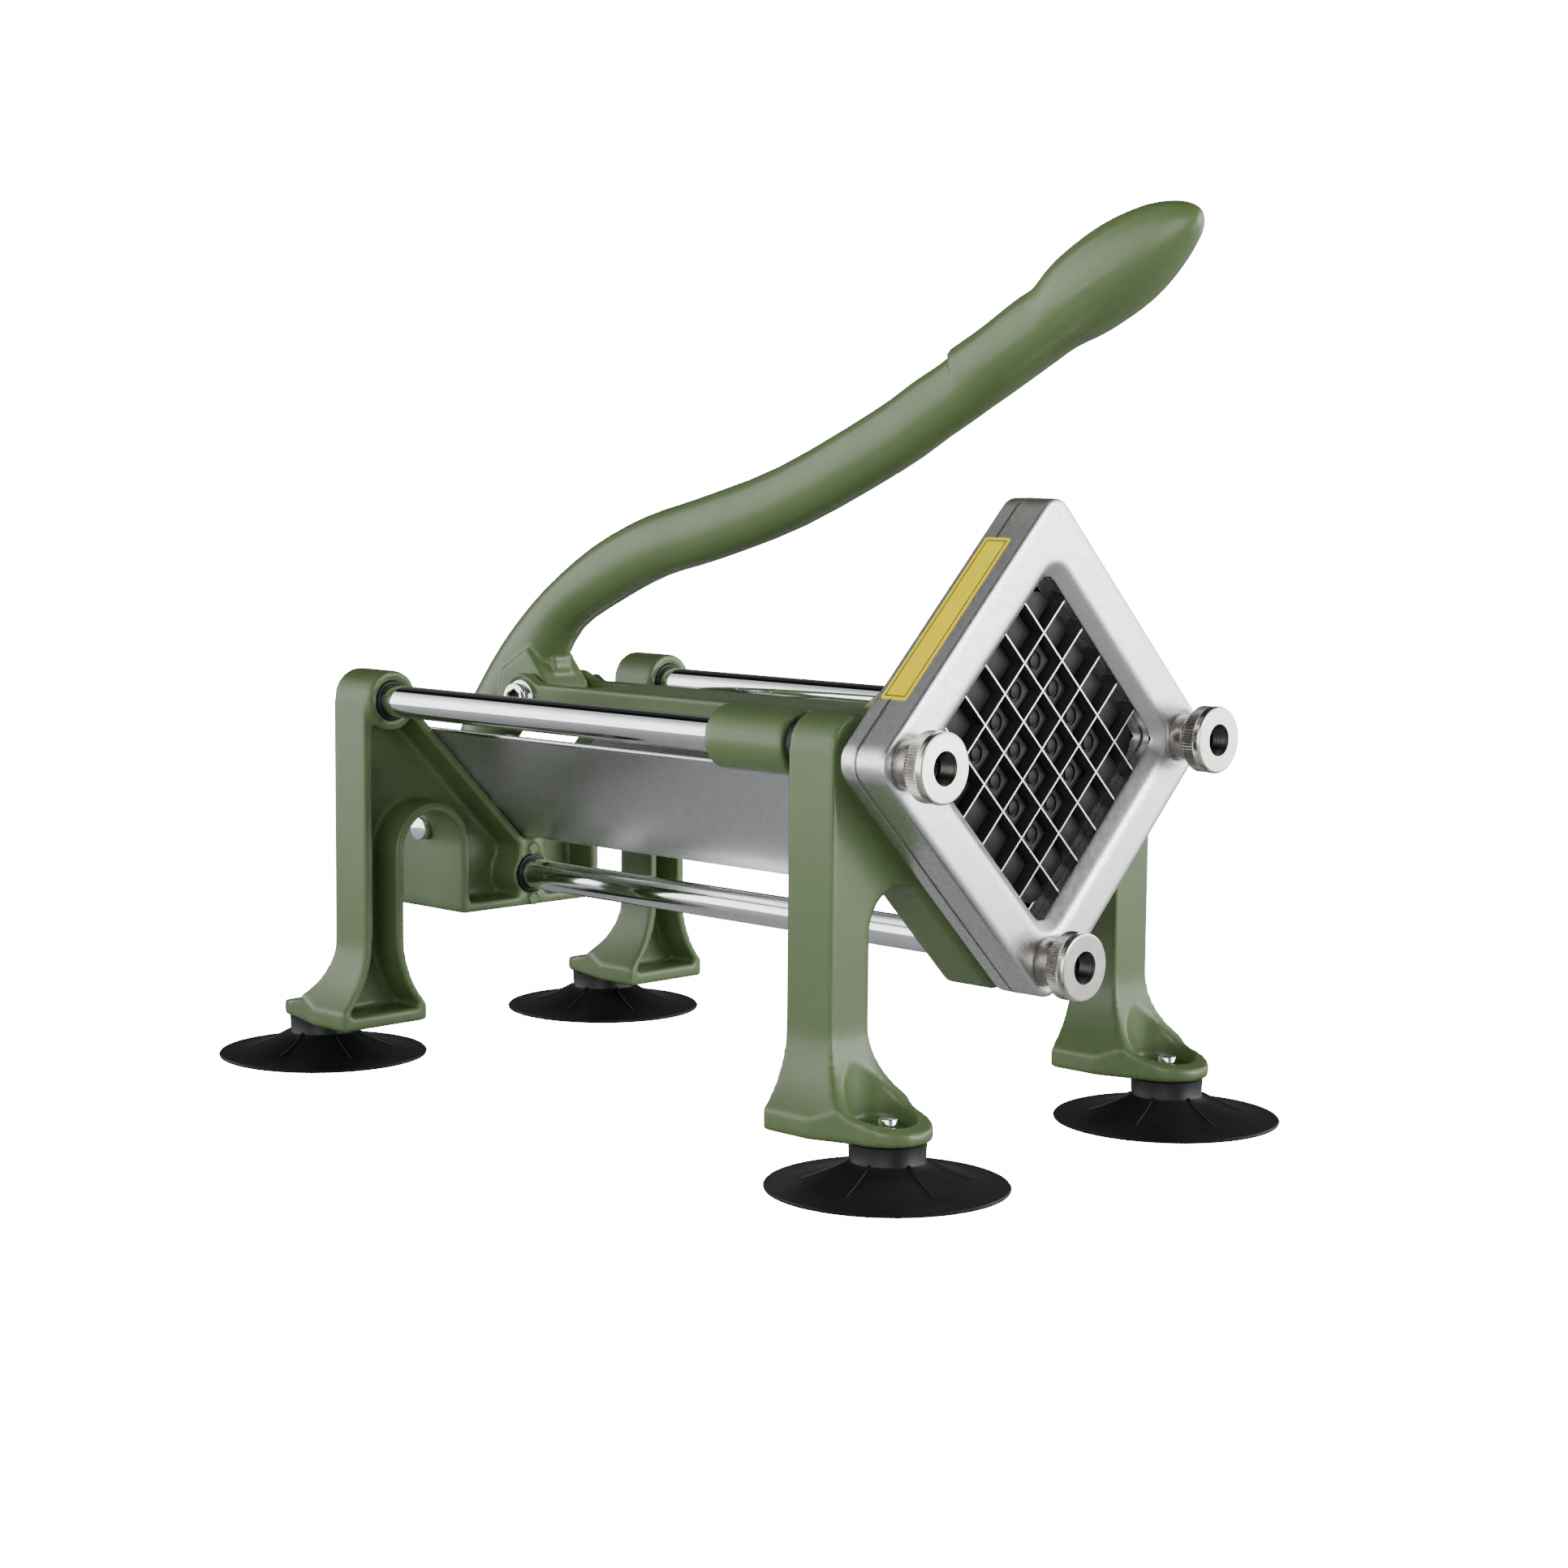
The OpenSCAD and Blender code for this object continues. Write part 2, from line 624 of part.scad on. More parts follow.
module mounting_studs() color(chrome) in_frame() for (p = stud_points) {
    y0 = knob_y + stud_recess;
    along_y(p[0], y0, p[1], stud_d / 2, -front_bay - front_depth + stud_root - y0);
}

// Knurled nut: a collar with a groove, and a head with chamfered rims
module thumb_nut(p) color("lightgray") in_frame() translate([p[0], cas_face_y, p[1]]) rotate([90, 0, 0])
    difference() {
        rotate_extrude() polygon([[0, seat_gap - dip_depth], [knob_neck_d / 2, seat_gap - dip_depth],
            [knob_neck_d / 2, knob_neck_len / 2 - groove_len / 2],
            [knob_neck_d / 2 - groove_len, knob_neck_len / 2],
            [knob_neck_d / 2, knob_neck_len / 2 + groove_len / 2],
            [knob_neck_d / 2, knob_neck_len],
            [knob_d / 2 - knob_chamfer, knob_neck_len], [knob_d / 2, knob_neck_len + knob_chamfer],
            [knob_d / 2, knob_neck_len + knob_len - knob_chamfer],
            [knob_d / 2 - knob_chamfer, knob_neck_len + knob_len], [0, knob_neck_len + knob_len]]);
        translate([0, 0, -dip_depth - over])
            cylinder(r = stud_d / 2 + run_fit, h = knob_neck_len + knob_len + dip_depth + 2 * over);
        translate([0, 0, knob_neck_len + knob_len - knob_mouth])
            cylinder(r = stud_d / 2 + knob_mouth, h = knob_mouth + over);
    }
module thumb_nut_left() thumb_nut(stud_points[0]);
module thumb_nut_right() thumb_nut(stud_points[1]);
module thumb_nut_bottom() thumb_nut(stud_points[2]);

// Block of square pins that push the sticks clear of the blades
module pusher_block() color(rubber) in_frame() difference() {
    diamond(block_half, block_r, pin_face_y, plate_y);
    translate([0, 0, axis_z]) rotate([0, 45, 0]) {
        for (i = [1:cells - 1]) {
            u = -open_half + i * cell;
            box(u - pin_gap / 2, pin_face_y - over, -open_half, u + pin_gap / 2, block_y, open_half);
            box(-open_half, pin_face_y - over, u - pin_gap / 2, open_half, block_y, u + pin_gap / 2);
        }
        for (i = [1:cells - 2], j = [1:cells - 2])
            translate([-open_half + (i + 1 / 2) * cell, pin_face_y, -open_half + (j + 1 / 2) * cell])
                rotate([-90, 0, 0]) difference() {
                    translate([0, 0, -over]) cylinder(r = ring_r, h = ring_depth + over);
                    translate([0, 0, -2 * over]) cylinder(r = ring_r - ring_w, h = ring_depth + 3 * over);
                }
        for (s = [-1, 1]) along_y(s * cell, block_y - over, 0, block_screw_r, block_t + 2 * over);
    }
}
module pusher_screws() color(chrome) in_frame() translate([0, 0, axis_z]) rotate([0, 45, 0]) for (s = [-1, 1])
    difference() {
        union() {
            along_y(s * cell, block_y, 0, block_screw_r, block_t + plate_t);
            along_y(s * cell, plate_y + plate_t, 0, block_screw_head_r, block_screw_head_t);
        }
        along_y(s * cell, plate_y + plate_t + block_screw_head_t / 2, 0, hex_key / 2, block_screw_head_t);
    }

// Two sleeves on the slide rods, a cross wing, the pusher's plate and a beam with a fork
module carriage() color(enamel) in_frame() {
    wing_back = sleeve_back_y - sleeve_len / 8;
    wing_front = sleeve_front_y + sleeve_len / 8;
    fork_front = pivot_y - fork_len;
    difference() {
        union() {
            mirrored_x() along_y(rod_x, sleeve_front_y, rod_z, sleeve_r, sleeve_len);
            difference() {
                box(-rod_x, wing_front, wing_low, rod_x, wing_back, wing_low + wing_h);
                mirrored_x() box(beam_w / 2 + wing_t, wing_front + wing_t, wing_low - over,
                                 rod_x - sleeve_r - wing_t, wing_back - wing_t, wing_low + wing_h - wing_t);
            }
            diamond(block_half, block_r, plate_y, plate_y + plate_t);
            intersection() {
                diamond(block_half, block_r, plate_y, bay);
                union() {
                    prism_yz([[plate_y, axis_z - block_half * diag],
                        [plate_y + plate_t, axis_z - block_half * diag],
                        [wing_back, wing_low], [wing_back, beam_top], [plate_y, beam_top]],
                        -rib_t / 2, rib_t / 2);
                    box(-beam_w / 2, plate_y, wing_low, beam_w / 2, wing_front + wing_t, wing_low + wing_h);
                }
            }
            mirrored_x() prism_yz([[plate_y, beam_low], [plate_y, block_top() - arm_t * 4],
                [plate_y + plate_t, block_top() - arm_t * 4], [plate_y + rib_run, beam_top],
                [plate_y + rib_run, beam_low]], beam_w / 2 - arm_t, beam_w / 2);
            beam_body(fork_front);
        }
        mirrored_x() along_y(rod_x, sleeve_front_y - over, rod_z, rod_d / 2 + run_fit + bush_t,
                             sleeve_len + 2 * over);
        along_x(-beam_w, pivot_y, pivot_z, pivot_d / 2, 2 * beam_w);
        mirrored_x() along_x(beam_w / 2 - spot_depth, pivot_y, pivot_z, washer_r + spot_play, beam_w);
        translate([0, 0, axis_z]) rotate([0, 45, 0]) for (s = [-1, 1])
            along_y(s * cell, plate_y - over, 0, block_screw_r, plate_t + 2 * over);
        translate([0, 0, axis_z]) rotate([0, 45, 0]) for (s = [-1, 1])
            along_y(s * cell, plate_y + plate_t, 0, block_screw_head_r, block_screw_head_t + over);
    }
}
function block_top() = axis_z + block_half * diag;
module beam_body(fork_front) {
    box(-beam_w / 2, plate_y + plate_t, beam_top - beam_roof, beam_w / 2, fork_front, beam_top);
    mirrored_x() prism_yz([[plate_y, beam_low], [plate_y, beam_top], [pivot_y - fork_r, beam_top],
        [pivot_y, pivot_z + fork_r], [pivot_y, pivot_z - fork_r], [pivot_y - fork_r, beam_low]],
        beam_w / 2 - arm_t, beam_w / 2);
    mirrored_x() along_x(beam_w / 2 - arm_t, pivot_y, pivot_z, fork_r, arm_t);
}
module slide_bushes() color("darkgoldenrod") in_frame() mirrored_x()
    ring_y(rod_x, sleeve_front_y, rod_z, rod_d / 2 + run_fit, rod_d / 2 + run_fit + bush_t, sleeve_len);

module handle_pivot_bolt() color(chrome) in_frame() difference() {
    union() {
        along_x(-seat_x - bolt_head_len, pivot_y, pivot_z, bolt_head_r, bolt_head_len);
        along_x(-seat_x, pivot_y, pivot_z, pivot_d / 2, 2 * seat_x + nut_len + bolt_stub);
    }
    along_x(-seat_x - bolt_head_len - over, pivot_y, pivot_z, hex_key, hex_depth + over, $fn = 6);
}
module handle_pivot_nut() color(chrome) in_frame() difference() {
    along_x(seat_x, pivot_y, pivot_z, nut_r, nut_len, $fn = 6);
    along_x(seat_x - over, pivot_y, pivot_z, pivot_d / 2, nut_len + 2 * over);
}
module handle_pivot_washers() color(chrome) in_frame() for (x = [-seat_x, seat_x - washer_t]) difference() {
    along_x(x, pivot_y, pivot_z, washer_r, washer_t);
    along_x(x - over, pivot_y, pivot_z, pivot_d / 2, washer_t + 2 * over);
}

// Handle: one oval section swept along a smooth line through the stations
stations = concat(
    [for (i = [0:len(grip_y_shares) - 1]) [-grip_y_shares[i] * handle_reach, grip_z_shares[i] * handle_rise,
        grip_h_shares[i] * grip_h, grip_h_shares[i] * (i < 8 ? grip_w : limb_w / limb_h_shares[0])]],
    [for (i = [0:len(limb_y_shares) - 1]) [-limb_y_shares[i] * handle_reach, limb_z_shares[i] * handle_rise,
        limb_h_shares[i] * grip_h, limb_w]],
    [for (i = [0:len(tail_y_shares) - 1]) [tail_y_shares[i] * pull_y, tail_z_shares[i] * pull_drop,
        tail_h_shares[i] * grip_h, tail_w / 2]]);
last = len(stations) - 1;
function spline(a, b, c, d, t) = (2 * b + (c - a) * t + (2 * a - 5 * b + 4 * c - d) * t * t
    + (3 * b - a - 3 * c + d) * t * t * t) / 2;
function station_at(u) = let (i = min(floor(u), last - 1), t = u - i)
    spline(stations[max(i - 1, 0)], stations[i], stations[i + 1], stations[min(i + 2, last)], t);
function unit(v) = v / norm(v);
ring_count = last * ring_steps + 1;
function ring_points(k) = let (u = k / ring_steps, s = station_at(u),
        a = station_at(max(u - 1 / ring_steps, 0)), b = station_at(min(u + 1 / ring_steps, last)),
        d = unit([b[0] - a[0], b[1] - a[1]]), n = [d[1], -d[0]])
    [for (j = [0:ring_sides - 1]) let (q = 360 * j / ring_sides, c = cos(q), e = sin(q))
        [s[3] * sign(c) * pow(abs(c), oval_share), s[0] + n[0] * s[2] * e, s[1] + n[1] * s[2] * e]];
tip_y = pivot_y + min([for (p = ring_points(0)) p[1]]);
middle_y = (tip_y + bay + foot_reach + cup_r) / 2;
module handle_sweep() polyhedron(
    points = [for (k = [0:ring_count - 1]) each ring_points(k)],
    faces = concat([[for (j = [0:ring_sides - 1]) j]],
        [for (k = [0:ring_count - 2], j = [0:ring_sides - 1]) let (m = (j + 1) % ring_sides)
            [k * ring_sides + j, (k + 1) * ring_sides + j, (k + 1) * ring_sides + m, k * ring_sides + m]],
        [[for (j = [ring_sides - 1:-1:0]) (ring_count - 1) * ring_sides + j]]), convexity = 8);
module handle() color(enamel) in_frame() translate([0, pivot_y, pivot_z]) difference() {
    union() {
        handle_sweep();
        along_x(-handle_w / 2, 0, 0, hub_r, handle_w);
        prism_yz([for (i = [0:len(hub_y_shares) - 1]) [hub_y_shares[i] * hub_r, hub_z_shares[i] * hub_r]],
            -handle_w / 2, handle_w / 2);
        along_x(-limb_w / 2, lug_y_share * hub_r, lug_z_share * hub_r, lug_r, limb_w);
        along_x(-tail_w / 2, pull_y, -pull_drop, eye_r, tail_w);
    }
    along_x(-handle_w, 0, 0, pivot_d / 2 + run_fit, 2 * handle_w);
    along_x(-handle_w, pull_y, -pull_drop, pull_d / 2 + pull_play, 2 * handle_w);
}

// Links that hang from the rear box and hold the handle's lower end by a pin
module swing_links() color(chrome) in_frame() mirrored_x() {
    dy = pull_py - link_piv_y;
    dz = pull_pz - link_piv_z;
    span = sqrt(dy * dy + dz * dz);
    difference() {
        union() {
            along_x(link_x, link_piv_y, link_piv_z, link_r, link_t);
            along_x(link_x, pull_py, pull_pz, link_r, link_t);
            translate([link_x, link_piv_y, link_piv_z]) rotate([atan2(dz, dy), 0, 0])
                box(0, 0, -link_r * link_waist, link_t, span, link_r * link_waist);
        }
        along_x(link_x - over, link_piv_y, link_piv_z, link_bolt_d / 2 + run_fit, link_t + 2 * over);
        along_x(link_x - over, pull_py, pull_pz, pull_d / 2, link_t + 2 * over);
    }
}
module pull_pin() color(chrome) in_frame() {
    x1 = link_x + link_t;
    along_x(-x1 - pin_head_t, pull_py, pull_pz, pin_head_r, pin_head_t);
    along_x(x1, pull_py, pull_pz, pin_head_r, pin_head_t);
    along_x(-x1 - pin_head_t, pull_py, pull_pz, pull_d / 2, 2 * (x1 + pin_head_t));
}
module link_pivot_bolts() color(chrome) in_frame() mirrored_x() difference() {
    union() {
        along_x(link_x - slide_gap, link_piv_y, link_piv_z, link_bolt_d / 2, hub_x - link_x + slide_gap);
        along_x(hub_x, link_piv_y, link_piv_z, bolt_head_r, bolt_head_len);
    }
    along_x(hub_x + bolt_head_len - hex_depth, link_piv_y, link_piv_z, hex_key, bolt_head_len, $fn = 6);
}
module link_spacers() color(chrome) in_frame() mirrored_x() difference() {
    along_x(link_x + link_t + slide_gap, link_piv_y, link_piv_z, bolt_head_r,
            hub_x - box_wall - link_x - link_t - slide_gap);
    along_x(link_x, link_piv_y, link_piv_z, link_bolt_d / 2, hub_x);
}
module stop_bolt() color(chrome) in_frame() {
    along_x(-hub_x, stop_y(), stop_z, stop_r, 2 * hub_x);
    mirrored_x() along_x(hub_x, stop_y(), stop_z, stop_head_r, stop_head_len);
}

// Suction cup: a flat rim, a hollow skirt, ribs, and a collar under the foot
cup_rim_w = 4;
cup_rib_n = 8;
cup_rib_t = 1.4;
cup_rib_rise = 1.1;
cup_mid_share = 0.55;
cup_drop_share = 0.36;
module cup(i, j) color(rubber) in_frame() translate([i * foot_x, j * (bay + foot_reach), 0]) {
    shoulder = cup_h - collar_h;
    mid_r = collar_r + (cup_r - collar_r) * cup_mid_share;
    mid_z = shoulder * cup_drop_share;
    difference() {
        rotate_extrude() polygon([[cup_stud_d / 2, cup_h], [collar_r, cup_h], [collar_r, shoulder],
            [mid_r, mid_z + skirt_t / 2], [cup_r, skirt_t / 2], [cup_r, 0], [cup_r - cup_rim_w, 0],
            [mid_r, mid_z - skirt_t / 2], [collar_r, shoulder - skirt_t],
            [cup_stud_d / 2, shoulder - skirt_t]]);
    }
    for (a = [0:cup_rib_n - 1]) rotate([0, 0, (a + 1 / 2) * 360 / cup_rib_n])
        prism_yz([[collar_r - skirt_t / 2, shoulder - skirt_t / 2],
                  [collar_r - skirt_t / 2, shoulder + cup_rib_rise],
                  [mid_r, mid_z + skirt_t / 2 + cup_rib_rise / 2], [mid_r + cup_rim_w, mid_z + skirt_t / 4],
                  [mid_r, mid_z]], -cup_rib_t / 2, cup_rib_t / 2);
}
module cup_front_left() cup(-1, -1);
module cup_front_right() cup(1, -1);
module cup_rear_left() cup(-1, 1);
module cup_rear_right() cup(1, 1);
module cup_studs() color(chrome) in_frame() for (i = [-1, 1], j = [-1, 1])
    translate([i * foot_x, j * (bay + foot_reach), cup_h - collar_h - skirt_t])
        cylinder(d = cup_stud_d, h = collar_h + skirt_t + scoop_floor + stud_tip);

front_frame();
rear_frame();
upper_rod_left();
upper_rod_right();
lower_rod();
rod_end_screws();
front_buffers();
rear_buffers();
potato_trough();
cassette_front();
cassette_back();
cassette_screws();
blades_down_right();
blades_down_left();
mounting_studs();
thumb_nut_left();
thumb_nut_right();
thumb_nut_bottom();
carriage();
slide_bushes();
pusher_block();
pusher_screws();
handle_pivot_bolt();
handle_pivot_nut();
handle_pivot_washers();
handle();
swing_links();
pull_pin();
link_pivot_bolts();
link_spacers();
stop_bolt();
cup_front_left();
cup_front_right();
cup_rear_left();
cup_rear_right();
cup_studs();
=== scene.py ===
"""Looks for a lever press that cuts potatoes into sticks: soft cast edges, finishes, a stage and a camera."""
import math

import bmesh
import bpy
from bpy.props import FloatProperty, FloatVectorProperty, IntProperty, PointerProperty
from mathutils import Matrix, Vector


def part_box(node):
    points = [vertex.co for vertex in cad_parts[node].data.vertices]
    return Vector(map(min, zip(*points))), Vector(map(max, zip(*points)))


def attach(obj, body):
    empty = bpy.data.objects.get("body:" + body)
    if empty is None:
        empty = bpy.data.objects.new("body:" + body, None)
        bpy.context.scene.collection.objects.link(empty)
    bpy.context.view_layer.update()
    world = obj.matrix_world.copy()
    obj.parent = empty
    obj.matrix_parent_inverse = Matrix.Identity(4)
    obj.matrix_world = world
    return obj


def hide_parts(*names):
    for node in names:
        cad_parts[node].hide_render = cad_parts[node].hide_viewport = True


bl_info = {
    "name": "Potato press",
    "version": (1, 0, 0),
    "blender": (4, 5, 0),
    "location": "3D View > Sidebar > Press",
    "description": "Builds the finished look of a lever press with a square blade grid",
    "category": "Object",
}

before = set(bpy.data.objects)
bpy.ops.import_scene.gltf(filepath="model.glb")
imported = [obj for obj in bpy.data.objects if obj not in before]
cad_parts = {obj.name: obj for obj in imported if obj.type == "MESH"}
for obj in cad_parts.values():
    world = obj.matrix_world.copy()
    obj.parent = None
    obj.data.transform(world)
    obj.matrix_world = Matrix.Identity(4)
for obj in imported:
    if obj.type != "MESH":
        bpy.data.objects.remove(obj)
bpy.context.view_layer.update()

MM = 0.001
FULL_TURN = 2 * math.pi
ROUND_STEPS = 96  # faces round a turned rod or a cup


def middle(node):
    """Centre of a CAD node's box."""
    low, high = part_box(node)
    return (low + high) / 2


def length(name, text, default, low=0.0, high=1.0):
    """A setting in metres."""
    return FloatProperty(name=name, description=text, default=default, min=low, max=high, subtype="DISTANCE",
                         unit="LENGTH", precision=5)


def share(name, text, default, low=0.0, high=1.0):
    """A setting that is a share or a level."""
    return FloatProperty(name=name, description=text, default=default, min=low, max=high, subtype="FACTOR")


def colour(name, text, default):
    """A setting that is a colour."""
    return FloatVectorProperty(name=name, description=text, default=default, size=4, min=0.0, max=1.0,
                               subtype="COLOR")


# Settings

class PressSizes(bpy.types.PropertyGroup):
    """Sizes of what is added to the solids."""
    cast_grain: length("Casting mesh", "Spacing of the mesh that rounds the castings", 0.85 * MM)
    cast_passes: IntProperty(name="Casting rounding", description="How far the castings' edges are rounded",
                             default=8, min=0, max=40)
    handle_grain: length("Handle mesh", "Spacing of the mesh that rounds the handle", 0.9 * MM)
    handle_passes: IntProperty(name="Handle rounding", description="How far the handle's edges are rounded",
                               default=5, min=0, max=60)
    grip_start: FloatVectorProperty(name="Grip start", description="A point on the step where the grip begins",
                                    default=(0, -0.0920, 0.2475), subtype="TRANSLATION", unit="LENGTH")
    grip_rise: FloatProperty(name="Grip rise", description="Slope of the handle at the step",
                             default=math.radians(29.2), subtype="ANGLE")
    grip_step: length("Grip step", "Half the height of the step", 0.7 * MM)
    grip_fade: length("Grip fade", "How far the step fades away on each side", 20.0 * MM)
    cassette_grain: length("Cassette mesh", "Spacing of the mesh that rounds the cassette", 0.75 * MM)
    cassette_passes: IntProperty(name="Cassette rounding", default=16, min=0, max=60,
                                 description="How far the cassette's edges are rounded")
    knurls: IntProperty(name="Knurls", description="Teeth round the rim of a thumb nut", default=72, min=24,
                        max=140)
    knurl_depth: length("Knurl depth", "Depth of the teeth", 0.45 * MM)
    knurl_run: length("Knurl length", "Length of the toothed band of a thumb nut", 4.0 * MM)
    knurl_dip: length("Knurl dip", "How far the toothed band lies below the rim", 0.12 * MM)
    nut_head: length("Nut head", "Length of a thumb nut's head", 7.0 * MM)
    nut_bore: length("Nut bore", "Radius inside the thread of a thumb nut", 4.0 * MM)
    nut_soft: length("Nut edges", "Rounding of a thumb nut's edges", 0.25 * MM)
    groove_place: share("Groove place", "Where the neck's groove begins, as a share of the neck", 0.62)
    groove_depth: length("Groove depth", "Depth of the neck's groove", 0.9 * MM)
    neck: length("Nut neck", "Radius of a thumb nut's neck", 7.3 * MM)
    mouth: length("Nut mouth", "Radius of the countersink in a thumb nut", 5.2 * MM)
    thread_pitch: length("Thread pitch", "Pitch of the threads in the thumb nuts", 1.25 * MM)
    thread_depth: length("Thread depth", "Depth of the threads in the thumb nuts", 0.6 * MM)
    cup_ribs: IntProperty(name="Cup ribs", description="Ribs on each suction cup", default=6, min=4, max=16)
    cup_hole: length("Cup hole", "Radius of the hole for a cup's stud", 3.05 * MM)
    cup_hollow: length("Cup hollow", "Height of the hollow under a cup", 6.6 * MM)
    skirt_edge: length("Skirt edge", "Height of a cup's upper side at its rim", 1.1 * MM)
    skirt_bend: FloatProperty(name="Skirt bend", description="How much the skirt curves up to the collar",
                              default=1.9, min=1.0, max=4.0)
    cup_collar: share("Cup collar", "Radius of the collar as a share of the cup's", 0.319)
    cup_shoulder: length("Cup shoulder", "Height at which the collar meets the skirt", 8.3 * MM)
    rib_reach: share("Rib reach", "How far a rib reaches, as a share of the cup's radius", 0.70)
    rib_rise: length("Rib height", "Height of a rib over the skirt", 1.0 * MM)
    rib_thick: length("Rib thickness", "Thickness of a rib at its foot", 1.0 * MM)
    hem: length("Hem", "Radius of the bead along the trough's upper edges", 0.9 * MM)
    socket: length("Socket", "Reach of the socket in the pivot bolt's head", 3.6 * MM)
    mark: length("Moulding mark", "Radius of the round marks by the lower rod", 2.4 * MM)
    mark_off: length("Mark distance", "From the lower rod's middle to a mark's", 9.2 * MM)
    label_long: length("Strip length", "Length of the yellow strip on the cassette", 66.0 * MM)
    label_wide: length("Strip width", "Width of the yellow strip on the cassette", 10.2 * MM)
    label_thick: length("Strip thickness", "Thickness of the yellow strip", 0.14 * MM)
    label_back: length("Strip place", "From the parting line to the middle of the strip", 1.2 * MM)
    cassette_half: length("Cassette half width", "From the grid's middle to the cassette's side", 56.9 * MM)
    line_in: length("Line inset", "From the strip's edge to its printed line", 1.1 * MM)
    line_wide: length("Line width", "Width of the strip's printed line", 0.55 * MM)
    ledge_play: length("Ledge play", "How near the parting line the dark ledge lies", 1.0 * MM)
    wall_play: length("Wall play", "How far round the window the dark wall reaches", 2.2 * MM)
    parting: length("Parting line", "Width of the dark line between the cassette's halves", 0.3 * MM)


class PressColours(bpy.types.PropertyGroup):
    """Colours of the finishes."""
    enamel: colour("Enamel", "Main colour of the baked enamel", (0.096, 0.146, 0.055, 1))
    enamel_deep: colour("Enamel, thick", "Colour where the enamel lies thicker", (0.080, 0.123, 0.045, 1))
    chrome: colour("Chrome", "Plated rods and bolts", (0.95, 0.965, 1.0, 1))
    nickel: colour("Nickel", "Plated thumb nuts", (0.80, 0.77, 0.72, 1))
    aluminium: colour("Aluminium", "Cast and ground cassette", (0.77, 0.77, 0.78, 1))
    # Painted shade: the near-black colour of the walls inside the window, which lie in its shade.
    painted_window_shade: colour("Painted window shade", "Walls inside the cassette's window", (0.003, 0.003, 0.003, 1))
    stainless: colour("Stainless", "Bent sheet of the trough", (0.82, 0.82, 0.84, 1))
    blade: colour("Blade", "Front edges of the thin blades", (0.72, 0.72, 0.73, 1))
    rubber: colour("Rubber", "Suction cups and rings", (0.005, 0.005, 0.0053, 1))
    plastic: colour("Plastic", "Block of pins", (0.010, 0.011, 0.012, 1))
    bronze: colour("Bearing metal", "Bearings in the sleeves", (0.52, 0.36, 0.16, 1))
    strip: colour("Strip", "Yellow strip on the cassette", (0.92, 0.74, 0.0, 1))
    # Printed ink on the strip; the same colour is painted shade in the parting line and in the pivot bolt's
    # socket.
    ink_and_shade: colour("Ink and shade", "Line on the strip, and the dirt in the parting line", (0.02, 0.02, 0.018, 1))


class PressStage(bpy.types.PropertyGroup):
    """Floor, light and camera."""
    floor: colour("Floor", "Pale floor", (0.42, 0.42, 0.43, 1))
    floor_half: length("Floor half width", "Half the width of the floor", 0.75, 0.3, 50.0)
    backdrop: share("Backdrop", "Brightness of the plain backdrop and floor", 16.0, 0.0, 20.0)
    left: share("Left screen", "Light from the left and behind", 3.4, 0.0, 9.0)
    gap: share("Gap", "Light from the gap behind the object", 0.02, 0.0, 9.0)
    right: share("Right screen", "Light from the right and behind", 0.13, 0.0, 9.0)
    near: share("Near screen", "Light from beside the camera", 0.30, 0.0, 9.0)
    front: share("Front screen", "Light on the blades' side", 3.6, 0.0, 9.0)
    over: share("Ceiling", "Share of the light that comes from overhead", 0.10, 0.0, 1.0)
    floor_match: share("Floor match", "Brightness of the floor as a share of the backdrop's", 0.965)
    key: FloatProperty(name="Key light", description="Power of the light on the rod side", default=20.0,
                       unit="POWER")
    fill: FloatProperty(name="Side light", description="Power of the light on the blade side", default=20.0,
                        unit="POWER")
    lens: FloatProperty(name="Lens", description="Focal length for a 36 mm sensor", default=69.66,
                        subtype="DISTANCE_CAMERA")
    turn: FloatProperty(name="Turn", description="Direction in which the camera looks, from +Y towards +X",
                        default=math.radians(45.643), subtype="ANGLE")
    dip: FloatProperty(name="Dip", description="How far the camera looks down", default=math.radians(6.367),
                       subtype="ANGLE")
    roll: FloatProperty(name="Roll", description="Tilt of the camera about its own axis",
                        default=math.radians(0.541), subtype="ANGLE")
    place: FloatVectorProperty(name="Camera", description="Where the camera stands",
                               default=(-0.7211, -0.72198, 0.2188), subtype="TRANSLATION", unit="LENGTH")


# Materials

def group(name, inputs, outputs, fill):
    """A shader node group with named sockets, filled once."""
    tree = bpy.data.node_groups.get(name)
    if tree:
        return tree
    tree = bpy.data.node_groups.new(name, "ShaderNodeTree")
    for label, kind, default in inputs:
        socket = tree.interface.new_socket(name=label, in_out="INPUT", socket_type="NodeSocket" + kind)
        socket.default_value = default
    for label, kind in outputs:
        tree.interface.new_socket(name=label, in_out="OUTPUT", socket_type="NodeSocket" + kind)
    fill(tree, tree.nodes.new("NodeGroupInput"), tree.nodes.new("NodeGroupOutput"))
    return tree


def noise(tree, vector, scale, detail=2.0, rough=0.5):
    """A noise texture's value. The scale is a number or a socket."""
    node = tree.nodes.new("ShaderNodeTexNoise")
    node.inputs["Detail"].default_value = detail
    node.inputs["Roughness"].default_value = rough
    tree.links.new(vector, node.inputs["Vector"])
    if hasattr(scale, "is_linked"):
        tree.links.new(scale, node.inputs["Scale"])
    else:
        node.inputs["Scale"].default_value = scale
    return node.outputs["Fac"]


def spread(tree, value, low_in, high_in, low, high):
    """Maps a value from one range to another. The targets are numbers or sockets."""
    node = tree.nodes.new("ShaderNodeMapRange")
    tree.links.new(value, node.inputs["Value"])
    for label, number in (("From Min", low_in), ("From Max", high_in), ("To Min", low), ("To Max", high)):
        if hasattr(number, "is_linked"):
            tree.links.new(number, node.inputs[label])
        else:
            node.inputs[label].default_value = number
    return node.outputs["Result"]


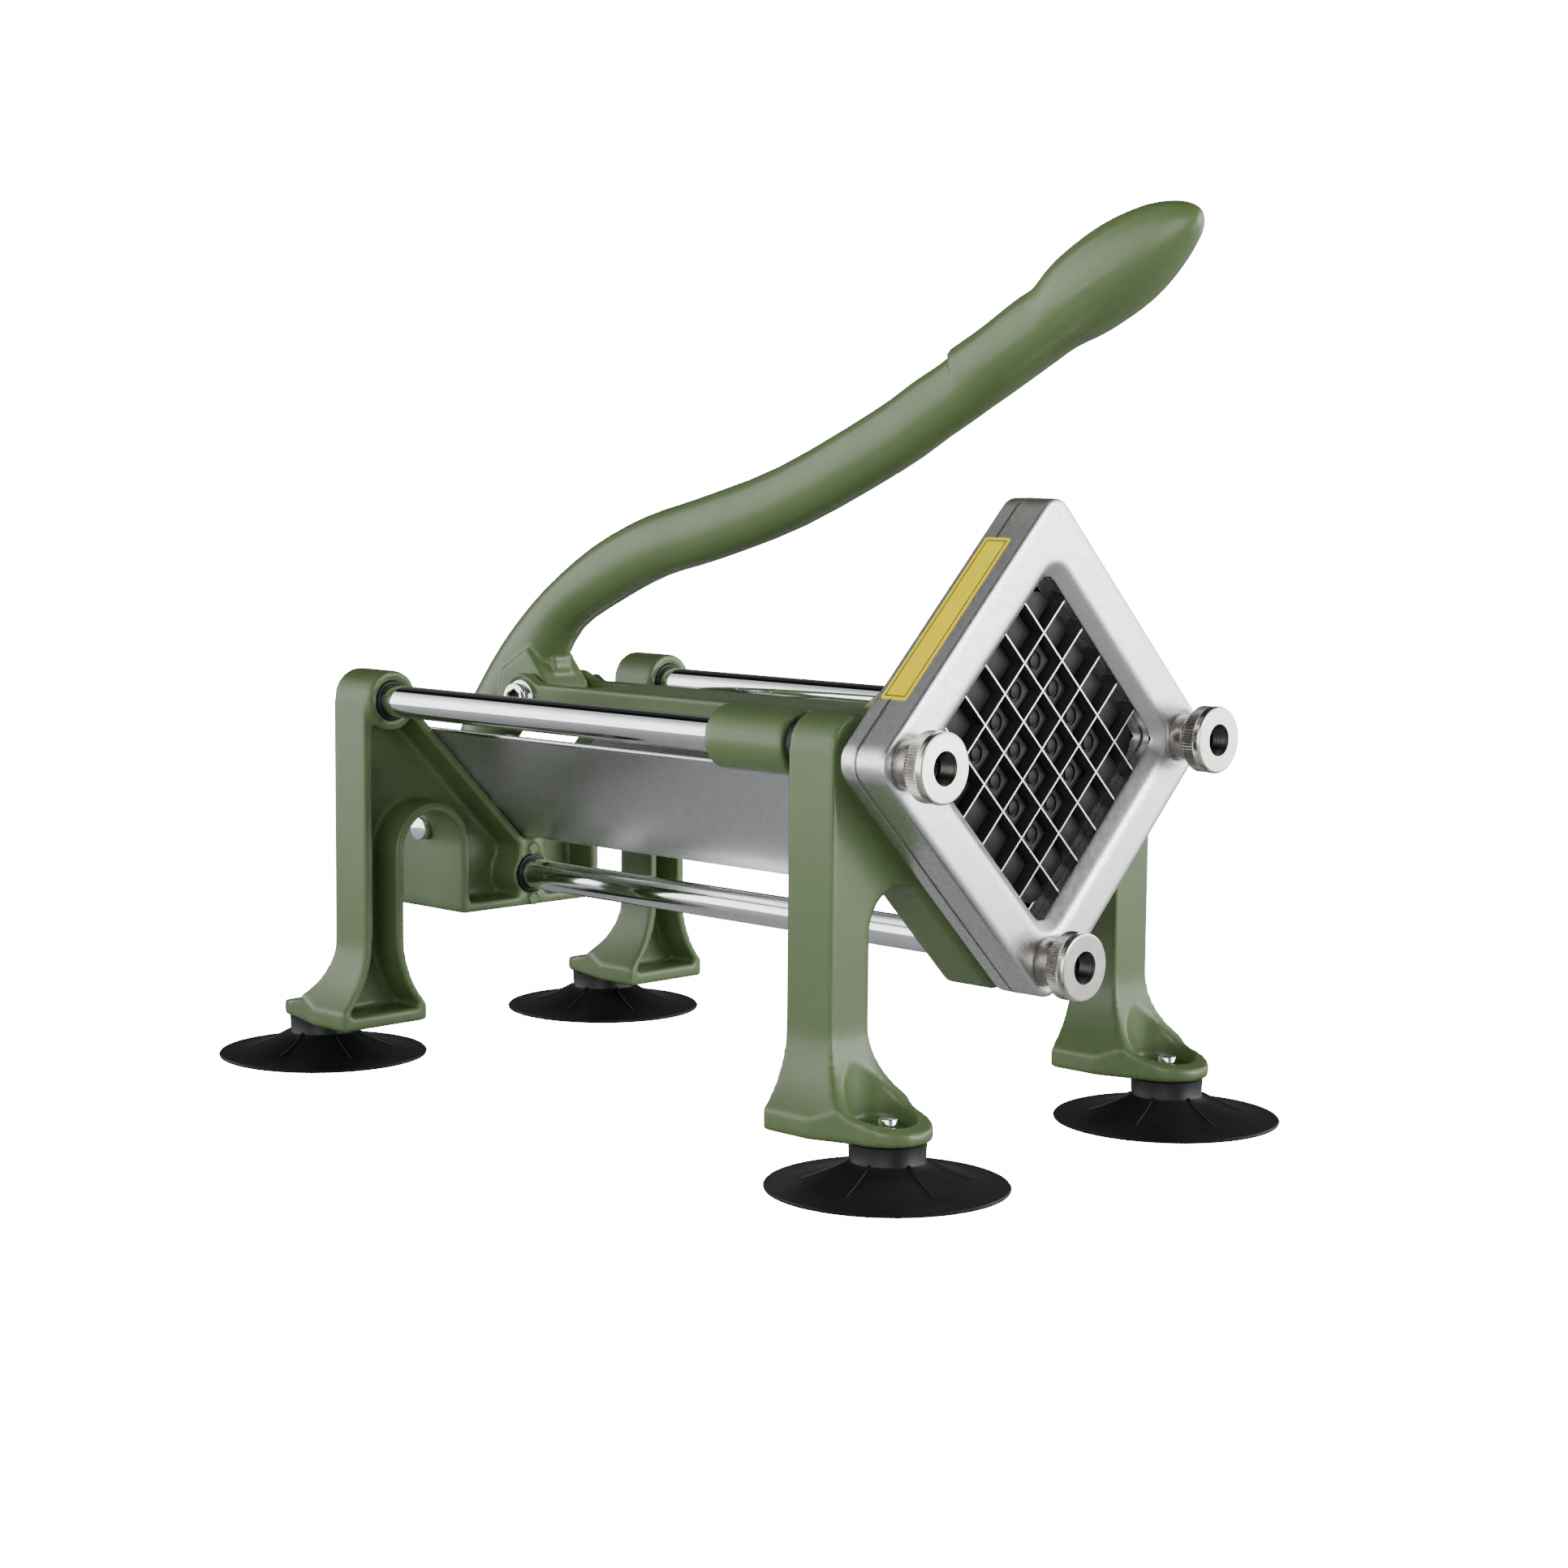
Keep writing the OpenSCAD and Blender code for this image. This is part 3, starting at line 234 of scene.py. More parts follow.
def blend_colours(tree, factor, first, second):
    """A mix of two colours, which are values or sockets."""
    node = tree.nodes.new("ShaderNodeMix")
    node.data_type = "RGBA"
    tree.links.new(factor, node.inputs["Factor"])
    for label, value in (("A", first), ("B", second)):
        socket = [s for s in node.inputs if s.name == label and s.type == "RGBA"][0]
        if hasattr(value, "is_linked"):
            tree.links.new(value, socket)
        else:
            socket.default_value = value
    return [s for s in node.outputs if s.type == "RGBA"][0]


def fill_mottle(tree, start, end):
    """Cloudy change between two colours and two roughnesses."""
    cloud = noise(tree, start.outputs["Vector"], start.outputs["Scale"], 3.0, 0.55)
    mask = spread(tree, cloud, 0.35, 0.65, 0.0, 1.0)
    tree.links.new(blend_colours(tree, mask, start.outputs["Colour A"], start.outputs["Colour B"]),
                   end.inputs["Colour"])
    tree.links.new(spread(tree, cloud, 0.3, 0.7, start.outputs["Rough A"], start.outputs["Rough B"]),
                   end.inputs["Roughness"])


def mottle():
    """The group behind every cloudy colour and roughness."""
    return group("Cloudy coat", [("Vector", "Vector", (0, 0, 0)), ("Scale", "Float", 30.0),
                                 ("Colour A", "Color", (1, 1, 1, 1)), ("Colour B", "Color", (1, 1, 1, 1)),
                                 ("Rough A", "Float", 0.3), ("Rough B", "Float", 0.4)],
                 [("Colour", "Color"), ("Roughness", "Float")], fill_mottle)


def fill_skin(tree, start, end):
    """Height of a skin with slow waves and fine grain."""
    waves = noise(tree, start.outputs["Vector"], start.outputs["Wave scale"], 1.0, 0.4)
    grain = noise(tree, start.outputs["Vector"], start.outputs["Grain scale"], 2.0, 0.6)
    first = tree.nodes.new("ShaderNodeMath")
    first.operation = "MULTIPLY"
    tree.links.new(waves, first.inputs[0])
    tree.links.new(start.outputs["Wave share"], first.inputs[1])
    second = tree.nodes.new("ShaderNodeMath")
    second.operation = "MULTIPLY_ADD"
    tree.links.new(grain, second.inputs[0])
    tree.links.new(start.outputs["Grain share"], second.inputs[1])
    tree.links.new(first.outputs[0], second.inputs[2])
    tree.links.new(second.outputs[0], end.inputs["Height"])


def skin():
    """The group behind every bumped skin."""
    return group("Surface skin", [("Vector", "Vector", (0, 0, 0)),
                                  ("Wave scale", "Float", 300.0), ("Wave share", "Float", 1.0),
                                  ("Grain scale", "Float", 3000.0), ("Grain share", "Float", 0.2)],
                 [("Height", "Float")], fill_skin)


def finish(name, first, second, rough, metallic=0.0, cloud=30.0, wave=(300.0, 1.0), grain=(3000.0, 0.2),
           depth=0.00002, stretch=(1, 1, 1), **fixed):
    """A material with a cloudy colour and roughness, and a bumped skin. Fixed values go on the shader."""
    material = bpy.data.materials.get(name)
    if material:
        return material
    material = bpy.data.materials.new(name)
    material.use_nodes = True
    tree = material.node_tree
    shader = tree.nodes["Principled BSDF"]
    place = tree.nodes.new("ShaderNodeTexCoord")
    mapping = tree.nodes.new("ShaderNodeMapping")
    mapping.inputs["Scale"].default_value = stretch
    tree.links.new(place.outputs["Object"], mapping.inputs["Vector"])
    coat = tree.nodes.new("ShaderNodeGroup")
    coat.node_tree = mottle()
    surface = tree.nodes.new("ShaderNodeGroup")
    surface.node_tree = skin()
    for node in (coat, surface):
        tree.links.new(mapping.outputs["Vector"], node.inputs["Vector"])
    coat.inputs["Scale"].default_value = cloud
    coat.inputs["Colour A"].default_value = first
    coat.inputs["Colour B"].default_value = second
    coat.inputs["Rough A"].default_value, coat.inputs["Rough B"].default_value = rough
    surface.inputs["Wave scale"].default_value, surface.inputs["Wave share"].default_value = wave
    surface.inputs["Grain scale"].default_value, surface.inputs["Grain share"].default_value = grain
    bump = tree.nodes.new("ShaderNodeBump")
    bump.inputs["Distance"].default_value = depth
    tree.links.new(surface.outputs["Height"], bump.inputs["Height"])
    tree.links.new(coat.outputs["Colour"], shader.inputs["Base Color"])
    tree.links.new(coat.outputs["Roughness"], shader.inputs["Roughness"])
    tree.links.new(bump.outputs["Normal"], shader.inputs["Normal"])
    shader.inputs["Metallic"].default_value = metallic
    for label, value in fixed.items():
        shader.inputs[label.replace("_", " ").title().replace("Ior", "IOR")].default_value = value
    return material


def colours():
    """The colours that the panel's settings hold."""
    return bpy.context.scene.press_colours


def darker(value, factor):
    """A colour with less or, above 1, more light."""
    return (value[0] * factor, value[1] * factor, value[2] * factor, 1)


def enamel():
    """Green baked enamel on the castings."""
    c = colours()
    return finish("Baked enamel", c.enamel, c.enamel_deep, (0.38, 0.46), cloud=18.0, wave=(420.0, 1.0),
                  grain=(2400.0, 0.12), depth=0.00006, coat_weight=0.36, coat_roughness=0.24,
                  specular_ior_level=0.32)


def chrome():
    """Bright plating on rods, bolts and hems."""
    c = colours()
    return finish("Chrome plate", c.chrome, darker(c.chrome, 0.94), (0.05, 0.09), 1.0, cloud=60.0,
                  wave=(200.0, 0.5), grain=(5000.0, 0.1), depth=0.000003)


def nickel():
    """Warm plating on the thumb nuts."""
    c = colours()
    return finish("Nickel plate", c.nickel, darker(c.nickel, 0.93), (0.20, 0.28), 1.0, cloud=160.0,
                  wave=(800.0, 0.5), grain=(5200.0, 0.5), depth=0.00001)


def painted_recess_shade():
    """Painted shade in the thread and the groove."""
    c = colours()
    return finish("Painted shade in thread and groove", darker(c.nickel, 0.14), darker(c.nickel, 0.10), (0.25, 0.35), 1.0,
                  cloud=160.0)


def knurled():
    """Darker, rougher nickel on the toothed bands and the necks."""
    c = colours()
    return finish("Knurled nickel", darker(c.nickel, 0.62), darker(c.nickel, 0.40), (0.30, 0.42), 1.0,
                  cloud=900.0)


def aluminium():
    """Finely ground faces of the cassette."""
    c = colours()
    return finish("Ground aluminium", c.aluminium, darker(c.aluminium, 0.86), (0.30, 0.42), 1.0, cloud=620.0,
                  wave=(900.0, 0.5), grain=(3600.0, 0.9), depth=0.00003)


def painted_window_shade():
    """Almost black painted shade on the walls inside the window."""
    c = colours()
    return finish("Painted window shade", c.painted_window_shade, darker(c.painted_window_shade, 0.7), (0.5, 0.62), cloud=300.0,
                  wave=(900.0, 0.5), grain=(2600.0, 0.9), depth=0.00004, specular_ior_level=0.08)


def stainless():
    """Sheet that is brushed along its length."""
    c = colours()
    return finish("Brushed sheet", c.stainless, darker(c.stainless, 0.93), (0.30, 0.38), 1.0, cloud=22.0,
                  wave=(900.0, 0.0), grain=(4200.0, 0.9), depth=0.000006, stretch=(1, 0.03, 1),
                  anisotropic=0.5)


def blade_steel():
    """Bright front edges of the blades."""
    c = colours()
    return finish("Blade steel", c.blade, darker(c.blade, 0.95), (0.24, 0.32), 1.0, cloud=70.0,
                  wave=(700.0, 0.3), grain=(4200.0, 0.5), depth=0.000006)


def painted_blade_reflection():
    """Dark sides of the blades: a painted reflection of the dark pins beside them."""
    c = colours()
    return finish("Blade side, painted reflection", darker(c.blade, 0.05), darker(c.blade, 0.035), (0.30, 0.40), cloud=70.0,
                  specular_ior_level=0.1)


def rubber():
    """Black cups and rings."""
    c = colours()
    return finish("Black rubber", c.rubber, darker(c.rubber, 1.7), (0.36, 0.48), cloud=40.0, wave=(500.0, 0.6),
                  grain=(3000.0, 0.5), depth=0.00003, specular_ior_level=0.3)


def plastic():
    """Black block of pins."""
    c = colours()
    return finish("Black plastic", c.plastic, darker(c.plastic, 1.3), (0.38, 0.48), cloud=90.0,
                  wave=(700.0, 0.6), grain=(3600.0, 0.5), depth=0.00003, specular_ior_level=0.16)


def bronze():
    """Bearings in the sleeves."""
    c = colours()
    return finish("Bearing metal", c.bronze, darker(c.bronze, 0.8), (0.35, 0.5), 1.0, cloud=90.0)


def strip_vinyl():
    """Plain yellow strip."""
    c = colours()
    return finish("Yellow vinyl", c.strip, darker(c.strip, 0.94), (0.40, 0.48), cloud=60.0, wave=(500.0, 0.3),
                  grain=(4000.0, 0.1), depth=0.00001, specular_ior_level=0.08)


def ink_and_shade():
    """Dark printed line, and painted shade in the parting line and in the pivot bolt's socket."""
    c = colours()
    return finish("Dark ink", c.ink_and_shade, darker(c.ink_and_shade, 1.3), (0.5, 0.6), cloud=200.0)


# Making pieces

def mesh_of(bm, name):
    """Turns a bmesh into a mesh, and frees it."""
    mesh = bpy.data.meshes.new(name)
    bm.to_mesh(mesh)
    bm.free()
    return mesh


def join(bm, other):
    """Adds one bmesh to another, and frees it."""
    mesh = mesh_of(other, "part")
    bm.from_mesh(mesh)
    bpy.data.meshes.remove(mesh)


def keep(mesh_or_bm, name, body, material, replaced=()):
    """Turns a bmesh or a mesh into a finished piece on a body."""
    mesh = mesh_of(mesh_or_bm, name) if isinstance(mesh_or_bm, bmesh.types.BMesh) else mesh_or_bm
    mesh.name = name
    mesh.materials.clear()
    mesh.materials.append(material)
    piece = bpy.data.objects.new(name, mesh)
    bpy.context.scene.collection.objects.link(piece)
    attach(piece, body)
    if replaced:
        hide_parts(*replaced)
    return piece


def smooth(mesh, angle=math.radians(32)):
    """Smooth shading with hard edges only where faces meet sharply."""
    mesh.polygons.foreach_set("use_smooth", [True] * len(mesh.polygons))
    mesh.set_sharp_from_angle(angle=angle)


def solid_of(node):
    """A closed copy of a CAD node's mesh."""
    bm = bmesh.new()
    bm.from_mesh(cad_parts[node].data)
    bmesh.ops.remove_doubles(bm, verts=bm.verts, dist=0.002 * MM)
    return bm


def softened(node, name, body, material, grain, passes, keep_sharp=None):
    """A copy of a node with all its edges rounded, as a casting's are."""
    work = bpy.data.objects.new(name + "_work", mesh_of(solid_of(node), name))
    bpy.context.scene.collection.objects.link(work)
    skin_mod = work.modifiers.new("Skin", "REMESH")
    skin_mod.mode = "VOXEL"
    skin_mod.voxel_size = grain
    skin_mod.use_smooth_shade = True
    skinned = settle(work)
    bpy.data.objects.remove(work)
    work = bpy.data.objects.new(name + "_work", skinned)
    bpy.context.scene.collection.objects.link(work)
    soft = work.modifiers.new("Soften", "SMOOTH")
    soft.factor = 0.5
    soft.iterations = passes
    if keep_sharp:
        moved = work.vertex_groups.new(name="rounded")
        moved.add([v.index for v in skinned.vertices if not keep_sharp(v.co)], 1.0, "REPLACE")
        soft.vertex_group = "rounded"
    result = settle(work)
    bpy.data.objects.remove(work)
    result.polygons.foreach_set("use_smooth", [True] * len(result.polygons))
    return keep(result, name, body, material, (node,))


def settle(obj):
    """The mesh that an object's modifiers give."""
    bpy.context.view_layer.update()
    seen = obj.evaluated_get(bpy.context.evaluated_depsgraph_get())
    return bpy.data.meshes.new_from_object(seen)


def edged(node, name, body, material, width, segments=2, angle=math.radians(35)):
    """A copy of a node with a small bevel along its sharp edges."""
    bm = solid_of(node)
    bmesh.ops.dissolve_limit(bm, angle_limit=math.radians(1.0), verts=bm.verts, edges=bm.edges)
    sharp = [e for e in bm.edges if len(e.link_faces) == 2 and e.calc_face_angle(0.0) > angle]
    bmesh.ops.bevel(bm, geom=sharp, offset=width, offset_type="OFFSET", segments=segments, profile=0.5,
                    affect="EDGES", clamp_overlap=True, material=-1, loop_slide=True)
    mesh = mesh_of(bm, name)
    smooth(mesh)
    return keep(mesh, name, body, material, (node,))


def lathe(bm, profile, steps, closed=True):
    """Spins an outline of (radius, height) points about Z."""
    verts = [bm.verts.new((radius, 0, height)) for radius, height in profile]
    edges = [bm.edges.new(pair) for pair in zip(verts, verts[1:])]
    if closed:
        edges.append(bm.edges.new((verts[-1], verts[0])))
    bmesh.ops.spin(bm, geom=verts + edges, cent=(0, 0, 0), axis=(0, 0, 1), angle=FULL_TURN, steps=steps,
                   use_merge=True)
    bmesh.ops.remove_doubles(bm, verts=bm.verts, dist=0.001 * MM)
    bmesh.ops.recalc_face_normals(bm, faces=bm.faces)


def along(axis, place):
    """A matrix that turns +Z to an axis and moves it to a place."""
    turn = Vector((0, 0, 1)).rotation_difference(Vector(axis)).to_matrix().to_4x4()
    return Matrix.Translation(place) @ turn


class PRESS_OT_castings(bpy.types.Operator):
    """Round the edges of the front and rear castings, the carriage and the handle"""
    bl_idname = "press.castings"
    bl_label = "Castings"

    def execute(self, context):
        s = context.scene.press_sizes
        for node in ("front_frame", "rear_frame"):
            softened(node, node + "_casting", "press", enamel(), s.cast_grain, s.cast_passes)
        self.marks(s)
        softened("carriage", "carriage_casting", "carriage", enamel(), s.cast_grain,
                 s.cast_passes)
        handle = softened("handle", "handle_casting", "handle", enamel(), s.handle_grain,
                          s.handle_passes)
        self.shoulder(s, handle.data)
        return {"FINISHED"}

    def shoulder(self, s, mesh):
        """The step in the handle where the grip begins. It fades out towards the underside."""
        slice_half, slice_reach, handle_reach = 2 * MM, 30 * MM, 20 * MM
        underside = 0.2  # how far round towards the underside the step still shows
        start = Vector(s.grip_start)
        along_grip = Vector((0, -math.cos(s.grip_rise), math.sin(s.grip_rise)))
        upward = Vector((0, math.sin(s.grip_rise), math.cos(s.grip_rise)))
        at = along_grip.dot(start)
        ring = [v.co for v in mesh.vertices if abs(v.co.dot(along_grip) - at) < slice_half and
                (v.co - start).length < slice_reach]
        middle_line = sum(ring, Vector()) / len(ring)
        for v in mesh.vertices:
            run = v.co.dot(along_grip) - at
            if abs(run) < s.grip_fade:
                off = v.co - middle_line - along_grip * run
                if off.length < handle_reach:
                    out = off.normalized()
                    fade = (1 - abs(run) / s.grip_fade) ** 2 * max(0.0, out.dot(upward) + underside)
                    v.co += out * s.grip_step * fade * (1 if run > 0 else -1)

    def marks(self, s):
        """The two round marks that the mould leaves beside the lower rod."""
        low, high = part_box("lower_rod")
        rod_z = (low.z + high.z) / 2
        points = [v.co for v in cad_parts["rear_frame"].data.vertices]
        tall, ridge, steps = 1.6 * MM, 0.3 * MM, 40
        bm = bmesh.new()
        for side in (-1, 1):
            z = rod_z + side * s.mark_off
            face_y = min(co.y for co in points if math.hypot(co.x, co.z - z) < s.mark * 1.1)
            one = bmesh.new()
            lathe(one, [(0, 0), (s.mark, 0), (s.mark, tall), (s.mark - ridge, tall + ridge),
                        (s.mark - 2 * ridge, tall), (0, tall)], steps, closed=False)
            one.transform(along((0, -1, 0), Vector((0, face_y + tall, z))))
            join(bm, one)
        bmesh.ops.recalc_face_normals(bm, faces=bm.faces)
        piece = keep(bm, "moulding_marks", "press", enamel())
        smooth(piece.data)


class PRESS_OT_cassette(bpy.types.Operator):
    """Round the two halves of the blade cassette and lay the yellow strip on its side"""
    bl_idname = "press.cassette"
    bl_label = "Cassette"

    def execute(self, context):
        s = context.scene.press_sizes
        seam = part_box("cassette_back")[0].y
        near = 1.6 * MM  # the edges at the joint stay sharp within this distance
        for node in ("cassette_front", "cassette_back"):
            half = softened(node, node + "_half", "press", aluminium(), s.cassette_grain,
                            s.cassette_passes, lambda co: abs(co.y - seam) < near)
            self.walls(s, half.data)
        self.strip(s)
        self.parting(s, seam)
        return {"FINISHED"}

    def walls(self, s, mesh):
        """The window's inner walls and its ledge get near-black painted shade, and are darker than the ground
        faces.
        """
        flat = 0.6  # the Y part of a normal from which a face no longer counts as a wall
        low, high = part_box("cassette_front")
        mid_z = (low.z + high.z) / 2
        points = [v.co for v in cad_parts["cassette_front"].data.vertices]
        window = min(abs(co.x) + abs(co.z - mid_z) for co in points)
        mesh.materials.append(painted_window_shade())
        for face in mesh.polygons:
            reach = abs(face.center.x) + abs(face.center.z - mid_z)
            ledge = face.center.y > high.y - s.ledge_play and face.normal.y < flat
            if reach < window + s.wall_play and (ledge or abs(face.normal.y) < flat):
                # painted shade on the window's walls and ledge
                face.material_index = 1

    def strip(self, s):
        """A plain strip on the upper left side of the cassette."""
        corner, lift, shift = 0.9 * MM, 0.02 * MM, 2.0 * MM
        low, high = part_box("cassette_front")
        centre = Vector((0, high.y - s.label_back, (low.z + high.z) / 2))
        bm = bmesh.new()
        bmesh.ops.create_grid(bm, x_segments=1, y_segments=1, size=0.5)
        bmesh.ops.scale(bm, vec=(s.label_long, s.label_wide, 1), verts=bm.verts)
        bmesh.ops.bevel(bm, geom=list(bm.verts), offset=corner, offset_type="OFFSET", segments=4, profile=0.5,
                        affect="VERTICES", material=-1)
        bmesh.ops.solidify(bm, geom=bm.faces, thickness=-s.label_thick)
        bmesh.ops.recalc_face_normals(bm, faces=bm.faces)
        out = Vector((-1, 0, 1)).normalized()
        side = Vector((1, 0, 1)).normalized()
        back = Vector((0, 1, 0))
        turn = Matrix((side, back, out)).transposed().to_4x4()
        place = centre + out * (s.cassette_half + lift) + side * shift
        bm.transform(Matrix.Translation(place) @ turn)
        bmesh.ops.recalc_face_normals(bm, faces=bm.faces)
        keep(bm, "yellow_strip", "press", strip_vinyl())
        self.line(s, Matrix.Translation(place + out * lift) @ turn)

    def line(self, s, place):
        """A thin dark line inside the strip's edge."""
        bm = bmesh.new()
        bmesh.ops.create_grid(bm, x_segments=1, y_segments=1, size=0.5)
        bmesh.ops.scale(bm, vec=(s.label_long - 2 * s.line_in, s.label_wide - 2 * s.line_in, 1),
                        verts=bm.verts)
        bmesh.ops.inset_region(bm, faces=bm.faces, thickness=s.line_wide, use_boundary=True)
        inner = [f for f in bm.faces if all(not e.is_boundary for e in f.edges)]
        bmesh.ops.delete(bm, geom=inner, context="FACES")
        bmesh.ops.solidify(bm, geom=bm.faces, thickness=-s.label_thick)
        bm.transform(place)
        bmesh.ops.recalc_face_normals(bm, faces=bm.faces)
        keep(bm, "strip_line", "press", ink_and_shade())

    def parting(self, s, seam):
        """A dark film in the joint between the two halves: painted shade for the seam's shadow line."""
        film, outer = 0.06 * MM, s.cassette_half * 0.85
        bm = solid_of("cassette_front")
        everything = list(bm.verts) + list(bm.edges) + list(bm.faces)
        bmesh.ops.bisect_plane(bm, geom=everything, plane_co=(0, seam - s.parting, 0), plane_no=(0, 1, 0),
                               clear_inner=True)
        low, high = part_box("cassette_front")
        mid_z = (low.z + high.z) / 2
        spare = []
        for face in bm.faces:
            at = face.calc_center_median()
            if abs(face.normal.y) > 0.5 or max(abs(at.x), abs(at.z - mid_z)) * math.sqrt(2) < outer:
                spare.append(face)
        bmesh.ops.delete(bm, geom=spare, context="FACES")
        bmesh.ops.solidify(bm, geom=bm.faces, thickness=-film)
        bmesh.ops.recalc_face_normals(bm, faces=bm.faces)
        keep(bm, "parting_line", "press", ink_and_shade())


class PRESS_OT_rods(bpy.types.Operator):
    """Turn the three rods as smooth bars with chamfered ends"""
    bl_idname = "press.rods"
    bl_label = "Rods"

    def execute(self, context):
        for node in ("upper_rod_left", "upper_rod_right", "lower_rod"):
            low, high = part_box(node)
            radius, run, chamfer = (high.x - low.x) / 2, high.y - low.y, 0.6 * MM
            bm = bmesh.new()
            lathe(bm, [(0, 0), (radius - chamfer, 0), (radius, chamfer), (radius, run - chamfer),
                       (radius - chamfer, run), (0, run)], ROUND_STEPS, closed=False)
            bm.transform(along((0, 1, 0), Vector(((low.x + high.x) / 2, low.y, (low.z + high.z) / 2))))
            mesh = mesh_of(bm, node)
            smooth(mesh)
            keep(mesh, node + "_bar", "press", chrome(), (node,))
        return {"FINISHED"}


class PRESS_OT_trough(bpy.types.Operator):
    """Round the bends and edges of the trough"""
    bl_idname = "press.trough"
    bl_label = "Trough"

    def execute(self, context):
        edged("potato_trough", "trough_sheet", "press", stainless(), width=0.3 * MM, segments=3,
              angle=math.radians(25))
        self.hems(context.scene.press_sizes)
        return {"FINISHED"}

    def hems(self, s):
        """The polished bead along the upper edge of each side."""
        low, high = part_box("potato_trough")
        points = [v.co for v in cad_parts["potato_trough"].data.vertices]
        edge_play, inward, steps = 0.2 * MM, s.hem * 0.6, 24
        run, soft = high.y - low.y - 2 * s.hem, s.hem * 0.4
        outline = [(0, 0), (s.hem - soft, 0), (s.hem, soft), (s.hem, run - soft), (s.hem - soft, run), (0, run)]
        bm = bmesh.new()
        for side in (-1, 1):
            edge = max(side * co.x for co in points)
            tops = [co.z for co in points if side * co.x > edge - edge_play]
            one = bmesh.new()
            lathe(one, outline, steps, closed=False)
            place = Vector((side * (edge - inward), low.y + s.hem, sum(tops) / len(tops)))
            one.transform(along((0, 1, 0), place))
            join(bm, one)
        bmesh.ops.recalc_face_normals(bm, faces=bm.faces)
        piece = keep(bm, "trough_hems", "press", chrome())
        smooth(piece.data)


class PRESS_OT_blades(bpy.types.Operator):
    """Give the two crossed sets of blades bright front edges, and sides with a painted dark reflection"""
    bl_idname = "press.blades"
    bl_label = "Blades"

    def execute(self, context):
        for node in ("blades_down_right", "blades_down_left"):
            blades = keep(solid_of(node), node + "_ground", "press", blade_steel(), (node,))
            blades.data.materials.append(painted_blade_reflection())
            for face in blades.data.polygons:
                # faces that do not face forward get the painted dark reflection
                face.material_index = 0 if face.normal.y < -0.5 else 1
        return {"FINISHED"}


class PRESS_OT_pins(bpy.types.Operator):
    """Round the edges of the block of pins"""
    bl_idname = "press.pins"
    bl_label = "Pins"

    def execute(self, context):
        edged("pusher_block", "pin_block", "carriage", plastic(), width=0.45 * MM)
        return {"FINISHED"}


class PRESS_OT_thumb_nuts(bpy.types.Operator):
    """Turn and knurl the three thumb nuts"""
    bl_idname = "press.thumb_nuts"
    bl_label = "Thumb nuts"

    def execute(self, context):
        s = context.scene.press_sizes
        hard_angle = math.radians(24)
        for side in ("left", "right", "bottom"):
            node = "thumb_nut_" + side
            low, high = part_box(node)
            centre = middle(node)
            radius, run = (high.x - low.x) / 2, high.y - low.y
            toothed = radius - s.knurl_dip
            band = run - s.nut_head + s.knurl_run
            bm = bmesh.new()
            lathe(bm, self.outline(s, radius, run, toothed, band), 2 * s.knurls)
            self.teeth(s, bm, toothed)
            bm.transform(along((0, -1, 0), Vector((centre.x, high.y, centre.z))))
            bmesh.ops.recalc_face_normals(bm, faces=bm.faces)
            mesh = mesh_of(bm, node)
            smooth(mesh, hard_angle)
            nut = keep(mesh, node + "_knurled", side + "_nut", nickel(), (node,))
            self.tint(s, nut.data, centre, high.y, toothed, band)
        return {"FINISHED"}

    def outline(self, s, radius, run, toothed, band):
        """Neck with a groove, toothed band, plain rim, countersink and thread, from the cassette outwards."""
        soft, neck, waist = s.nut_soft, s.neck, s.neck - s.groove_depth
        step = run - s.nut_head
        groove = step * s.groove_place
        hole = s.nut_bore + s.thread_depth
        sink = s.mouth - hole
        profile = [(hole, 0), (neck - soft, 0), (neck, soft), (neck, groove - soft),
                   (waist, groove), (waist, groove + 2 * soft), (neck, groove + 3 * soft),
                   (neck, step - soft), (neck + soft, step), (toothed - 2 * soft, step), (toothed, step + soft),
                   (toothed, band), (toothed - 2 * soft, band + soft), (radius - soft, band + 2 * soft),
                   (radius, band + 3 * soft), (radius, run - 3 * soft), (radius - soft, run - soft),
                   (radius - 3 * soft, run), (s.mouth, run), (hole, run - sink)]
        for i in range(int((run - 2 * soft - sink) / s.thread_pitch)):
            top = run - sink - soft - i * s.thread_pitch
            profile += [(hole, top), (s.nut_bore, top - s.thread_pitch / 2)]
        return profile

    def teeth(self, s, bm, toothed):
        """Presses every second point of the toothed band inwards."""
        for v in bm.verts:
            distance = math.hypot(v.co.x, v.co.y)
            if abs(distance - toothed) < 0.02 * MM:
                place = round(math.atan2(v.co.y, v.co.x) / FULL_TURN * 2 * s.knurls)
                if place % 2:
                    v.co.x *= 1 - s.knurl_depth / distance
                    v.co.y *= 1 - s.knurl_depth / distance

    def tint(self, s, mesh, centre, base_y, toothed, band):
        """Painted shade in the thread and the groove, and darker, rougher nickel on the neck and the teeth."""
        mesh.materials.append(painted_recess_shade())
        mesh.materials.append(knurled())
        hole = s.nut_bore + s.thread_depth
        waist = s.neck - 0.5 * MM
        for face in mesh.polygons:
            off = math.hypot(face.center.x - centre.x, face.center.z - centre.z)
            if off < hole or off < waist and face.center.y < base_y - s.nut_soft:
                # painted shade in the thread, its countersink and the groove
                face.material_index = 1
            elif off < toothed and abs(face.normal.y) < 0.2 and face.center.y > base_y - band:
                face.material_index = 2


